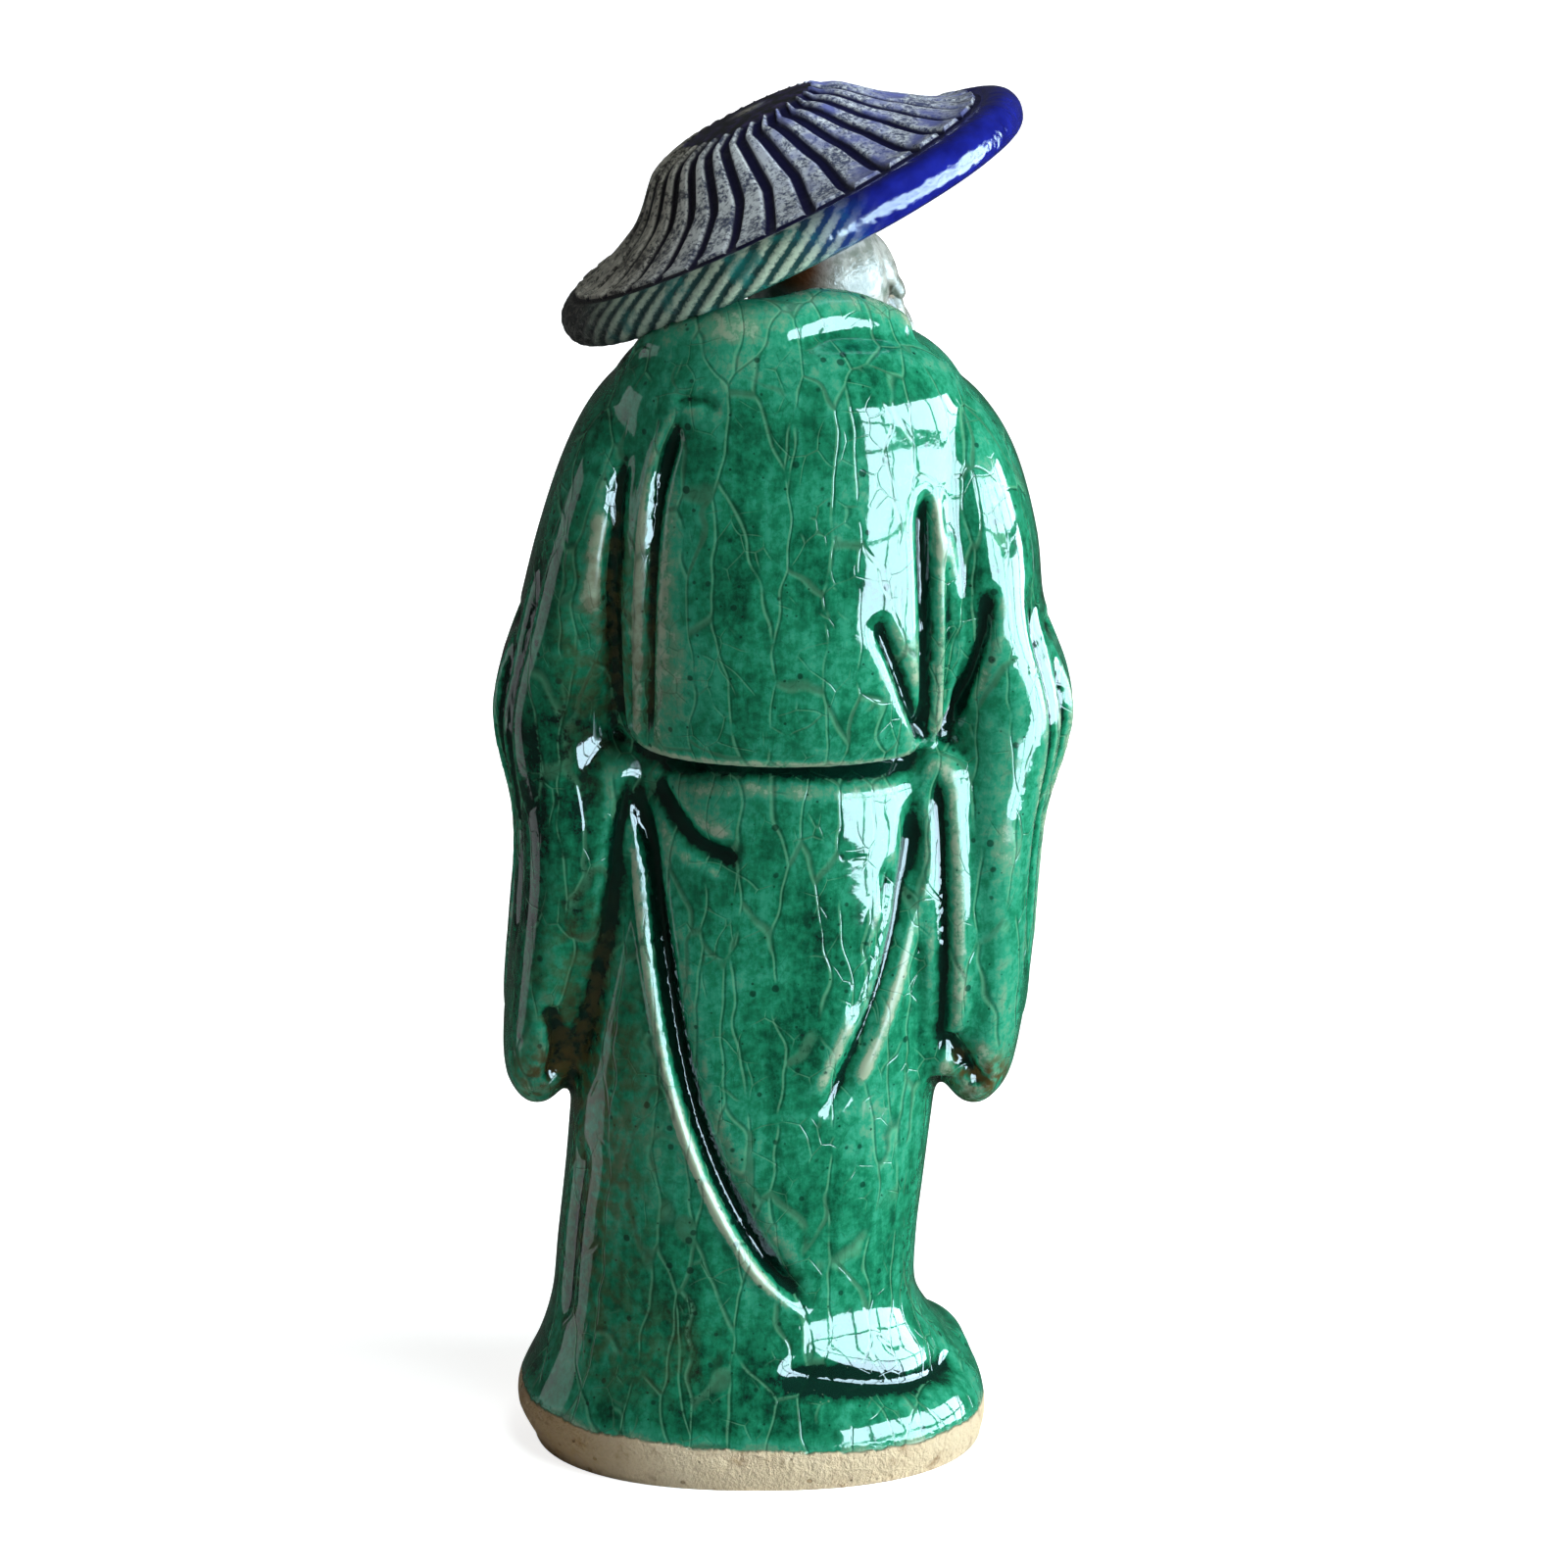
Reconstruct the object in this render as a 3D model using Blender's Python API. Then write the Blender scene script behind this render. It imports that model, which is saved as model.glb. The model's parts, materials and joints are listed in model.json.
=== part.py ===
"""A mudman figurine: a small glazed earthenware old man in a long robe and a wide ribbed hat.

Units are metres, +Z is up and the figure faces -Y. The origin is the middle of its flat foot.
The figure is one fired piece. Its robe, pose and carving are laid out in shares of its height,
and the hat and the foot have sizes of their own.
"""
import math

import bmesh
import bpy
import numpy as np
from mathutils import Matrix, Vector
from mathutils.bvhtree import BVHTree

# Driving sizes
FIGURE_HEIGHT = 0.090
FOOT_WIDTH = 0.0300
FOOT_DEPTH = 0.0243
FOOT_RIM_HEIGHT = 0.0018
HAT_RADIUS = 0.0166
HAT_CROWN_RADIUS = 0.0063
HAT_CROWN_RISE = 0.0060
HAT_RIM_HEIGHT = 0.0034
HAT_PANEL_RAISE = 0.00042
HAT_STRAND_RAISE = 0.00045
HAT_PANELS = 32
HAT_STRANDS = 48
HAT_PANEL_SPREAD = 0.10
HAT_STRAND_SLOPE = math.radians(4.6)
HAT_TILT = math.radians(26.3)
HAT_NOD = math.radians(3.3)
HEAD_TURN = math.radians(12.0)
FOLD_DEPTH = 0.00105
FACE_DEPTH = 0.00050
HEM_SWELL = 0.0005

# The tables of the body are given in shares of the height, for a figure that is 89.3 shares tall
SHARES_TALL = 89.3
SHARE = FIGURE_HEIGHT / SHARES_TALL

# Clay grain of the fused bodies, and the triangles that each keeps
BODY_GRAIN = 0.0005
HEAD_GRAIN = 0.00026
BODY_TRIANGLES = 4000
HEAD_TRIANGLES = 1900
RING_SIDES = 40
CURVE_STEPS = 6

# Squareness of the robe's rings, reach of a fold beyond its half width, and its faded ends
RING_POWER = 2.3
FOLD_REACH = 2.4
FOLD_FADE = 0.14
BANK_HEIGHT = 0.35
OUTSIDE = 60.0

# Body rings: height, middle x, middle y, half width, half depth
SKIRT_RINGS = (
    (2.6, 0.25, -0.1, 15.6, 12.5),
    (4.0, 0.3, -0.1, 15.1, 12.2),
    (6.3, 0.7, 0.0, 13.6, 11.3),
    (9.5, 1.25, 0.1, 12.15, 10.15),
    (13.5, 1.1, 0.1, 11.9, 9.85),
    (19.0, 0.5, 0.1, 11.9, 9.7),
    (26.0, -0.2, 0.1, 12.0, 9.5),
    (33.0, -0.9, 0.0, 11.9, 9.3),
    (40.0, -1.6, 0.0, 11.2, 9.1),
    (46.0, -2.0, 0.0, 10.4, 8.9),
    (51.0, -2.1, 0.0, 9.8, 8.8),
)
JACKET_RINGS = (
    (49.0, -2.1, 0.6, 10.4, 9.5),
    (50.2, -2.1, 0.7, 11.1, 10.2),
    (53.0, -2.1, 0.6, 11.5, 10.6),
    (58.0, -2.2, 0.7, 12.2, 10.6),
    (64.0, -2.3, 0.6, 12.6, 10.2),
    (68.6, -2.4, 0.5, 12.2, 9.4),
    (71.9, -2.2, 1.1, 11.3, 8.6),
    (74.0, -2.1, 1.5, 9.8, 7.5),
    (75.4, -1.9, 1.8, 7.6, 6.1),
    (76.3, -1.6, 1.9, 4.6, 3.9),
)
LEFT_SLEEVE_RINGS = (
    (23.4, 14.2, -1.6, 1.3, 4.2),
    (25.0, 14.1, -1.7, 2.3, 5.8),
    (28.0, 13.8, -1.8, 2.7, 6.8),
    (33.0, 12.9, -1.9, 3.2, 7.4),
    (38.0, 12.1, -2.0, 3.6, 7.9),
    (43.0, 11.9, -2.0, 3.8, 8.2),
    (50.0, 12.3, -2.2, 4.6, 8.0),
    (56.4, 11.2, -1.2, 4.0, 8.0),
    (61.6, 10.0, -0.6, 3.9, 7.6),
    (66.8, 8.6, -0.2, 3.6, 6.8),
    (70.5, 7.3, 0.0, 3.0, 5.4),
    (73.3, 5.9, 0.0, 1.9, 3.4),
)
RIGHT_SLEEVE_RINGS = (
    (23.4, -14.5, -1.6, 1.3, 4.2),
    (25.0, -14.6, -1.7, 2.4, 5.8),
    (28.0, -14.9, -1.8, 2.8, 6.8),
    (33.0, -15.3, -1.9, 3.1, 7.4),
    (38.0, -15.4, -2.0, 3.3, 7.9),
    (43.0, -15.6, -2.0, 3.6, 8.2),
    (50.0, -16.1, -2.2, 4.8, 8.0),
    (56.4, -15.0, -1.2, 4.0, 8.0),
    (61.6, -14.4, -0.6, 4.0, 7.6),
    (66.8, -13.2, -0.2, 3.8, 6.8),
    (70.4, -11.7, 0.2, 3.2, 5.4),
    (72.8, -10.1, 0.4, 2.1, 3.4),
)
# The bag of cloth that hangs in front of each sleeve, on the figure's left
SLEEVE_BAG_RINGS = (
    (25.6, 14.6, -5.4, 1.4, 1.7),
    (28.0, 14.4, -6.0, 2.3, 2.6),
    (33.0, 13.3, -7.6, 3.1, 3.0),
    (38.0, 12.1, -9.0, 3.9, 3.2),
    (43.0, 11.0, -10.0, 5.0, 3.3),
    (48.0, 9.8, -10.6, 5.8, 3.1),
)
# The middle of the figure leans towards its right as it rises: height, middle x
LEAN = ((0.0, -0.3), (13.0, 1.0), (24.0, -0.6), (31.0, -0.95), (38.0, -1.45), (46.0, -1.9), (90.0, -2.2))

FOOT_MIDDLE = -0.3
BELOW_FOOT = -2.0
HEM_START = 0.7

# Rolls of clay: x, y, height, radius
FOREARM_ROLL = (
    (11.0, -0.5, 59.0, 2.9),
    (12.4, -0.6, 54.6, 3.3),
    (13.2, -3.2, 49.6, 3.6),
    (12.0, -7.8, 48.2, 3.9),
    (8.0, -11.2, 48.0, 4.3),
    (3.0, -12.6, 48.2, 4.6),
    (-0.6, -12.9, 48.6, 4.5),
)
SHOE_ROLL = ((5.0, -9.0, 1.7, 2.8), (5.3, -12.4, 1.5, 2.5))
FRONT_HEM_ROLL = ((6.0, -9.6, 3.4, 2.6), (11.0, -6.4, 3.6, 2.7), (12.6, -2.6, 3.8, 2.2))
# The rounded collar that the lowered side of the hat is luted to
COLLAR_ROLL = (
    (5.9, 3.0, 73.9, 1.9),
    (3.9, 4.5, 74.9, 2.3),
    (1.0, 5.4, 75.7, 2.5),
    (-2.0, 5.4, 76.3, 2.2),
    (-4.2, 4.4, 76.8, 2.0),
    (-6.4, 3.5, 76.4, 1.9),
    (-8.6, 2.6, 75.5, 1.7),
)
# Clay pressed into the hollows between the skirt and the hanging sleeves
LEFT_VALLEY_ROLL = (
    (8.9, 3.6, 46.5, 2.4),
    (9.4, 3.7, 40.0, 2.3),
    (10.3, 3.5, 33.0, 2.0),
    (11.4, 3.0, 27.5, 1.4),
)
RIGHT_VALLEY_ROLL = (
    (-11.9, 3.8, 46.5, 2.7),
    (-12.3, 4.0, 40.0, 2.7),
    (-12.5, 4.0, 33.0, 2.5),
    (-12.5, 3.4, 27.5, 1.8),
)

# Head forms in the head's own frame: side, forward, up, and three radii. Pairs are mirrored
HEAD_CENTRE = (-4.5, -8.2, 76.7)
HAT_ABOVE_HEAD = 5.84
HEAD_FORMS = (
    (0.0, -0.4, 0.6, 4.4, 4.9, 5.3),
    (0.0, -1.3, 0.2, 4.7, 4.5, 5.0),
    (0.0, 1.4, -3.4, 3.2, 3.3, 3.2),
    (0.0, 4.55, -3.75, 1.25, 0.55, 0.34),
    (0.0, 4.50, -4.55, 1.05, 0.58, 0.38),
)
PAIRED_HEAD_FORMS = (
    (2.45, 2.9, -1.4, 1.45, 1.4, 1.25),
    (1.75, 3.80, 0.05, 1.0, 0.72, 0.58),
    (0.72, 4.75, -2.15, 0.52, 0.62, 0.46),
    (4.35, -0.5, -0.6, 0.55, 1.25, 1.9),
    (4.25, -0.2, -2.6, 0.48, 0.75, 0.95),
)
# Rolls of the head, in its frame: nose, brow, moustache, side whisker and beard
NOSE_ROLL = ((0.0, 4.15, 1.1, 0.45), (0.0, 4.75, -0.5, 0.55), (0.0, 5.35, -1.9, 0.78))
BROW_ROLL = ((0.55, 4.35, 1.45, 0.42), (1.9, 4.10, 1.85, 0.46), (3.3, 3.15, 1.35, 0.36))
MOUSTACHE_ROLL = ((0.4, 4.9, -2.95, 0.5), (1.7, 4.4, -3.6, 0.66), (2.5, 3.8, -5.1, 0.58),
                  (2.6, 3.7, -6.9, 0.34))
WHISKER_ROLL = ((3.6, 1.1, -1.9, 0.6), (2.8, 1.9, -3.8, 0.85), (1.9, 2.8, -6.0, 1.0))
BEARD_ROLL = (
    (0.3, 2.9, -5.5, 2.4),
    (1.5, 2.6, -8.0, 2.9),
    (3.2, 2.0, -11.0, 2.9),
    (5.0, 1.6, -14.4, 2.3),
    (6.6, 1.7, -17.8, 1.15),
)
BEARD_FLATNESS = 0.62

# Carved folds on each side of the robe: profile, half width, depth share, and points as
# (across, height). Across is x on the back and front, and y on the two sides
BACK_FOLDS = (
    ("step", 1.0, 1.0, ((4.1, 72.0), (5.3, 69.5), (6.2, 66.0), (6.7, 61.0), (6.9, 55.0), (7.0, 49.2))),
    ("groove", 0.9, 0.7, ((7.9, 69.1), (8.5, 65.9), (8.8, 62.0), (8.9, 58.0), (8.7, 53.0), (8.2, 49.4))),
    ("ridge", 1.2, 0.35, ((9.2, 65.0), (10.0, 61.5), (10.5, 58.0))),
    ("groove", 0.7, 0.35, ((4.9, 72.3), (3.4, 72.6), (2.0, 72.0))),
    ("step", 1.1, -1.3, ((-11.1, 67.0), (-11.3, 62.4), (-11.5, 57.0), (-11.5, 52.0), (-11.4, 48.5))),
    ("ridge", 1.0, 0.4, ((-12.0, 64.4), (-12.7, 61.0), (-13.1, 57.0), (-12.9, 53.3), (-12.2, 50.0))),
    ("groove", 1.1, 0.9, ((-15.0, 60.0), (-14.7, 56.7), (-13.9, 54.0), (-12.8, 51.2), (-11.9, 48.9))),
    ("groove", 1.0, 0.9, ((-7.8, 59.0), (-9.2, 55.4), (-10.1, 52.9), (-11.3, 49.4))),
    ("step", 1.5, -1.5, ((7.6, 48.3), (4.2, 48.6), (1.1, 48.8), (-2.0, 48.7), (-8.3, 48.4),
                         (-11.6, 48.2))),
    ("groove", 1.5, 0.9, ((6.6, 47.0), (5.6, 45.4), (4.4, 43.9), (3.0, 42.9), (0.6, 42.1))),
    ("step", 1.3, 1.5, ((7.3, 46.8), (6.9, 41.0), (6.0, 34.7), (5.1, 29.5), (4.0, 25.0),
                        (2.4, 20.8), (0.5, 17.0), (-1.4, 14.2), (-4.2, 11.4))),
    ("groove", 1.4, 0.7, ((-10.4, 46.0), (-10.1, 41.7), (-8.9, 35.8), (-7.1, 30.4), (-4.4, 24.6))),
    ("ridge", 1.5, 0.36, ((-8.8, 40.0), (-7.9, 35.0), (-6.7, 31.5), (-5.2, 28.4), (-3.9, 25.5))),
    ("ridge", 1.4, 0.34, ((-10.9, 41.0), (-10.2, 37.3), (-9.2, 33.2), (-7.8, 29.4), (-6.2, 26.3))),
    ("groove", 1.9, 0.9, ((-1.4, 7.9), (-4.0, 7.2), (-7.2, 6.2), (-10.4, 5.6), (-13.6, 5.4))),
    ("ridge", 1.8, 0.3, ((-1.5, 9.6), (-5.9, 9.0), (-9.1, 8.5), (-12.0, 8.0))),
    ("groove", 1.4, 0.8, ((7.6, 47.5), (8.6, 42.4), (9.2, 37.9), (10.2, 33.1), (11.4, 28.1), (12.2, 25.5))),
    ("groove", 1.2, 0.9, ((-11.8, 48.0), (-12.2, 42.0), (-12.4, 35.0), (-12.2, 26.4))),
    ("groove", 1.6, 0.4, ((11.0, 22.0), (11.8, 16.0), (12.4, 9.0))),
    ("groove", 1.3, 0.9, ((-12.9, 29.4), (-14.0, 26.8), (-15.2, 25.0))),
    ("groove", 1.2, 0.8, ((13.2, 31.4), (12.7, 28.0), (13.3, 25.2))),
)
FRONT_FOLDS = (
    ("step", 1.0, 0.8, ((3.2, 73.0), (0.2, 67.0), (-4.4, 60.0), (-9.4, 54.0))),
    ("groove", 0.7, 0.5, ((1.4, 74.0), (-1.6, 67.6), (-5.8, 61.4), (-10.6, 56.0))),
    ("step", 1.0, -0.7, ((-9.6, 71.0), (-8.0, 68.2), (-6.0, 65.6))),
    ("groove", 0.9, 0.9, ((-2.0, 53.4), (-2.0, 49.0), (-2.0, 45.0))),
    ("groove", 1.2, 0.7, ((9.0, 60.0), (8.4, 56.0), (6.0, 53.4))),
    ("groove", 1.2, 0.7, ((-13.0, 60.0), (-12.4, 56.0), (-10.0, 53.4))),
    ("step", 1.3, 0.7, ((3.8, 44.0), (6.2, 38.6), (9.2, 33.0), (11.8, 28.6))),
    ("step", 1.3, -0.7, ((-7.8, 44.0), (-10.2, 38.6), (-13.2, 33.0), (-15.4, 28.6))),
    ("groove", 1.1, 0.6, ((6.4, 46.0), (9.2, 41.0), (12.4, 35.6))),
    ("groove", 1.1, 0.6, ((-10.4, 46.0), (-13.2, 41.0), (-16.0, 35.6))),
    ("step", 1.2, 0.9, ((-0.2, 44.0), (0.2, 34.0), (1.4, 22.0), (2.4, 11.0), (2.2, 4.0))),
    ("step", 1.2, -0.9, ((-4.0, 44.0), (-4.2, 34.0), (-3.6, 22.0), (-3.2, 11.0), (-3.4, 4.0))),
    ("groove", 1.6, 0.6, ((5.0, 32.0), (6.2, 22.0), (7.4, 13.0), (8.6, 6.0))),
    ("groove", 1.6, 0.6, ((-7.6, 32.0), (-7.4, 22.0), (-7.8, 13.0), (-8.6, 6.0))),
    ("groove", 1.3, 0.5, ((-0.8, 20.0), (-0.6, 12.0), (-0.6, 5.0))),
)
LEFT_FOLDS = (
    ("step", 1.3, 0.8, ((2.0, 56.0), (0.6, 47.0), (-1.6, 38.0), (-2.8, 29.0))),
    ("groove", 1.3, 0.7, ((-2.6, 53.0), (-4.0, 46.0), (-6.0, 38.0))),
    ("groove", 1.2, 0.6, ((4.2, 62.0), (3.4, 52.0), (2.4, 42.0), (1.6, 33.0))),
    ("groove", 1.2, 0.7, ((-4.6, 57.6), (-1.6, 55.8), (1.8, 56.8))),
)
RIGHT_FOLDS = (
    ("step", 1.3, -0.8, ((2.2, 55.0), (1.0, 46.0), (-1.0, 37.0), (-2.4, 28.0))),
    ("groove", 1.3, 0.7, ((-2.4, 52.0), (-4.2, 45.0), (-6.2, 37.0))),
    ("groove", 1.2, 0.6, ((4.4, 60.0), (3.8, 51.0), (3.0, 42.0), (2.2, 31.0))),
    ("groove", 1.2, 0.7, ((-4.4, 57.0), (-1.4, 55.2), (2.0, 56.2))),
)
# Lids, mouth line, cheek folds and the locks of the beard, in the head's frame
FACE_FOLDS = (
    ("groove", 0.34, 0.8, ((0.7, 0.45), (1.75, 0.85), (2.8, 0.35))),
    ("groove", 0.34, 0.8, ((-0.7, 0.45), (-1.75, 0.85), (-2.8, 0.35))),
    ("groove", 0.26, 0.7, ((0.8, -0.02), (1.75, 0.02), (2.7, -0.1))),
    ("groove", 0.26, 0.7, ((-0.8, -0.02), (-1.75, 0.02), (-2.7, -0.1))),
    ("groove", 0.34, 0.7, ((0.8, -0.5), (1.75, -0.72), (2.7, -0.45))),
    ("groove", 0.34, 0.7, ((-0.8, -0.5), (-1.75, -0.72), (-2.7, -0.45))),
    ("groove", 0.28, 0.6, ((-0.9, -4.2), (0.0, -4.14), (0.9, -4.2))),
    ("groove", 0.45, 0.6, ((1.2, -2.0), (1.9, -2.7), (2.4, -3.6))),
    ("groove", 0.45, 0.6, ((-1.2, -2.0), (-1.9, -2.7), (-2.4, -3.6))),
)
BEARD_LOCKS = 5
BEARD_LOCK_SPAN = 0.8

# The hat's section from the crown's top to the underside's middle. Crown rings are shares of the
# crown's radius and rise, brim rings are shares of the brim's width beyond the crown and of the
# rise, and the last two kinds are shares of the whole radius and of the rim's height
HAT_CROWN_RINGS = ((0.50, 0.99), (0.74, 0.95), (0.95, 0.865))
HAT_BRIM_RINGS = ((0.05, 0.80), (0.12, 0.70), (0.27, 0.46), (0.46, 0.25), (0.66, 0.085), (0.78, 0.04))
HAT_GROOVE_RING = (0.82, 0.0)
HAT_RIM_RINGS = ((0.91, 0.0), (0.945, -0.03), (0.985, -0.16), (1.0, -0.40), (0.985, -0.68))
HAT_UNDER_RINGS = ((0.94, -0.83), (0.85, -0.85), (0.40, -0.42))
HAT_UNDER_MIDDLE = -0.35
# How far a ring lies off the hat's middle, towards its lowered side: both in shares of the radius
HAT_DRIFT = ((0.0, -0.024), (0.27, -0.024), (0.36, 0.020), (0.60, -0.012), (0.80, 0.021),
             (0.89, 0.028), (0.96, 0.0))


def clear_scene():
    for thing in list(bpy.data.objects):
        bpy.data.objects.remove(thing, do_unlink=True)


def smooth_rows(rows, steps=CURVE_STEPS):
    """Rows on a smooth curve that passes through every given row."""
    rows = np.array(rows, dtype=float)
    padded = np.vstack((2 * rows[0] - rows[1], rows, 2 * rows[-1] - rows[-2]))
    curve = []
    for start in range(len(rows) - 1):
        before, here, there, after = padded[start:start + 4]
        for step in range(steps):
            t = step / steps
            curve.append(0.5 * (2 * here + (there - before) * t
                                + (2 * before - 5 * here + 4 * there - after) * t ** 2
                                + (3 * here - before - 3 * there + after) * t ** 3))
    curve.append(rows[-1])
    return np.array(curve)


def lean(height):
    """The figure's middle x at a height."""
    heights, middles = zip(*LEAN)
    return float(np.interp(height, heights, middles))


def ring_points(height, x, y, half_width, half_depth):
    """One level ring of the robe, a soft-cornered ellipse."""
    for side in range(RING_SIDES):
        angle = 2 * math.pi * side / RING_SIDES
        across, along = math.cos(angle), math.sin(angle)
        fullness = (abs(across) ** RING_POWER + abs(along) ** RING_POWER) ** (-1 / RING_POWER)
        yield Vector((x + half_width * fullness * across,
                      y + half_depth * fullness * along,
                      height)) * SHARE


def loft(bm, rings):
    """A closed form through level rings, drawn up from a filled circle."""
    cap = bmesh.ops.create_circle(bm, cap_ends=True, segments=RING_SIDES, radius=SHARE)
    top = cap["verts"][0].link_faces[0]
    floor_loop = list(top.verts)
    for level, ring in enumerate(rings):
        if level:
            top = bmesh.ops.extrude_discrete_faces(bm, faces=[top])["faces"][0]
        for vert, place in zip(top.verts, ring_points(*ring)):
            vert.co = place
    bm.faces.new(reversed(floor_loop))


def beads(bm, points, mirrored=False):
    """A roll of clay along a smooth curve, as overlapping round beads."""
    for x, y, height, radius in smooth_rows(points, 5):
        place = Vector((x, y, height)) * SHARE
        if mirrored:
            place.x = 2 * lean(height) * SHARE - place.x
        shape = Matrix.Diagonal((*[radius * SHARE] * 3, 1.0))
        bmesh.ops.create_icosphere(bm, subdivisions=2, radius=1.0,
                                   matrix=Matrix.Translation(place) @ shape)


def head_frame():
    """The head's own frame: side, forward and up, in shares, with its tilt and turn."""
    up = Vector((math.sin(HAT_TILT), -math.sin(HAT_NOD), math.cos(HAT_TILT))).normalized()
    forward = Vector((-math.sin(HEAD_TURN), -math.cos(HEAD_TURN), 0.0))
    forward = (forward - up * forward.dot(up)).normalized()
    side = up.cross(forward)
    turn = Matrix((side, forward, up)).transposed().to_4x4()
    return Matrix.Translation(Vector(HEAD_CENTRE) * SHARE) @ turn @ Matrix.Scale(SHARE, 4)


def add_form(bm, frame, side, forward, up, *radii):
    shape = Matrix.Diagonal((*radii, 1.0))
    bmesh.ops.create_icosphere(bm, subdivisions=3, radius=1.0,
                               matrix=frame @ Matrix.Translation((side, forward, up)) @ shape)


def roll_in_frame(bm, frame, points, side=1.0, flatten=(1.0, 1.0, 1.0)):
    for x, y, height, radius in smooth_rows(points, 4):
        radii = [radius * share for share in flatten]
        add_form(bm, frame, side * x, y, height, *radii)


def apply_modifiers(body):
    """Keep the object's evaluated mesh as its own."""
    graph = bpy.context.evaluated_depsgraph_get()
    finished = bpy.data.meshes.new_from_object(body.evaluated_get(graph))
    body.modifiers.clear()
    body.data = finished


def fuse(name, bm, grain, rounds):
    """Press the overlapping forms in bm into one closed, softened body."""
    bmesh.ops.recalc_face_normals(bm, faces=bm.faces)
    mesh = bpy.data.meshes.new(name)
    bm.to_mesh(mesh)
    bm.free()
    body = bpy.data.objects.new(name, mesh)
    bpy.context.collection.objects.link(body)
    clay = body.modifiers.new("clay", "REMESH")
    clay.mode = "VOXEL"
    clay.voxel_size = grain
    clay.adaptivity = 0.0
    soften = body.modifiers.new("soften", "SMOOTH")
    soften.factor = 0.5
    soften.iterations = rounds
    apply_modifiers(body)
    return body


def mesh_arrays(mesh):
    places = np.empty(len(mesh.vertices) * 3, dtype=np.float32)
    mesh.vertices.foreach_get("co", places)
    normals = np.empty(len(mesh.vertices) * 3, dtype=np.float32)
    mesh.vertices.foreach_get("normal", normals)
    return places.reshape(-1, 3).astype(float), normals.reshape(-1, 3).astype(float)


def side_frame(across, outward):
    """A frame whose columns are across, outward and up, in shares."""
    turn = Matrix((Vector(across), Vector(outward), Vector((0.0, 0.0, 1.0)))).transposed()
    return turn.to_4x4() @ Matrix.Scale(SHARE, 4)


def robe_sides():
    """The four sides that the robe is carved from, each with its folds."""
    return (
        (side_frame((1, 0, 0), (0, 1, 0)), BACK_FOLDS),
        (side_frame((1, 0, 0), (0, -1, 0)), FRONT_FOLDS),
        (side_frame((0, 1, 0), (1, 0, 0)), LEFT_FOLDS),
        (side_frame((0, 1, 0), (-1, 0, 0)), RIGHT_FOLDS),
    )


def fold_path(surface, frame, points):
    """The fold's line laid on the surface, seen straight from its side."""
    inward = -(frame.to_3x3() @ Vector((0.0, 1.0, 0.0))).normalized()
    path = []
    for across, height in smooth_rows(points):
        start = frame @ Vector((across, OUTSIDE, height))
        hit = surface.ray_cast(start, inward)[0]
        if hit:
            path.append(hit)
    return np.array([list(place) for place in path])


def near_path(places, path, outward):
    """Signed distance to the path, and how far along it each place lies, from 0 to 1."""
    best = np.full(len(places), np.inf)
    signed = np.zeros(len(places))
    along = np.zeros(len(places))
    steps = np.diff(path, axis=0)
    lengths = np.linalg.norm(steps, axis=1)
    travelled = np.concatenate(([0.0], np.cumsum(lengths)))
    for start, step, length, done in zip(path, steps, lengths, travelled):
        offset = places - start
        share = np.clip(offset @ step / max(length ** 2, 1e-18), 0.0, 1.0)
        apart = offset - share[:, None] * step
        distance = np.linalg.norm(apart, axis=1)
        closer = distance < best
        lateral = np.cross(step, outward)
        best[closer] = distance[closer]
        signed[closer] = (np.sign(apart @ lateral) * distance)[closer]
        along[closer] = ((done + share * length) / travelled[-1])[closer]
    return signed, along


def fold_profile(kind, t):
    """Height of the carving at t half widths from its line, from -1 to 1."""
    groove = -np.clip(1 - np.abs(t), 0, 1) ** 1.6
    if kind == "groove":
        return groove
    if kind == "ridge":
        return 0.5 + 0.5 * np.cos(math.pi * np.clip(t, -1, 1))
    cliff = np.where(t > 0, np.clip(1 - t / 0.6, 0, 1) ** 1.5, np.clip(1 + t / 1.3, 0, 1) ** 2)
    bank = 0.5 + 0.5 * np.cos(math.pi * np.clip((t - 0.8) / 0.6, -1, 1))
    return BANK_HEIGHT * bank - cliff


def carve_fold(surface, places, normals, frame, fold, depth):
    """Moves of the places for one fold. A step's raised bank takes the side of strength's sign."""
    kind, half_width, strength, points = fold
    outward = np.array((frame.to_3x3() @ Vector((0.0, 1.0, 0.0))).normalized())
    path = fold_path(surface, frame, points)
    reach = half_width * SHARE * FOLD_REACH
    near = np.all((places > path.min(axis=0) - reach) & (places < path.max(axis=0) + reach), axis=1)
    near &= normals @ outward > -0.2
    moves = np.zeros(len(places))
    signed, along = near_path(places[near], path, outward)
    t = signed / (half_width * SHARE) * (math.copysign(1.0, strength) if kind == "step" else 1.0)
    ends = np.clip(along / FOLD_FADE, 0, 1) * np.clip((1 - along) / FOLD_FADE, 0, 1)
    ends = ends * ends * (3 - 2 * ends)
    moves[near] = fold_profile(kind, t) * ends * abs(strength) * depth
    return moves


def carve(body, sides, depth):
    """Carve every fold into the body along its own normals."""
    mesh = body.data
    surface = BVHTree.FromObject(body, bpy.context.evaluated_depsgraph_get())
    places, normals = mesh_arrays(mesh)
    moves = np.zeros(len(places))
    for frame, folds in sides:
        for fold in folds:
            moves += carve_fold(surface, places, normals, frame, fold, depth)
    moved = places + normals * moves[:, None]
    mesh.vertices.foreach_set("co", moved.astype(np.float32).ravel())
    mesh.update()


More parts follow.
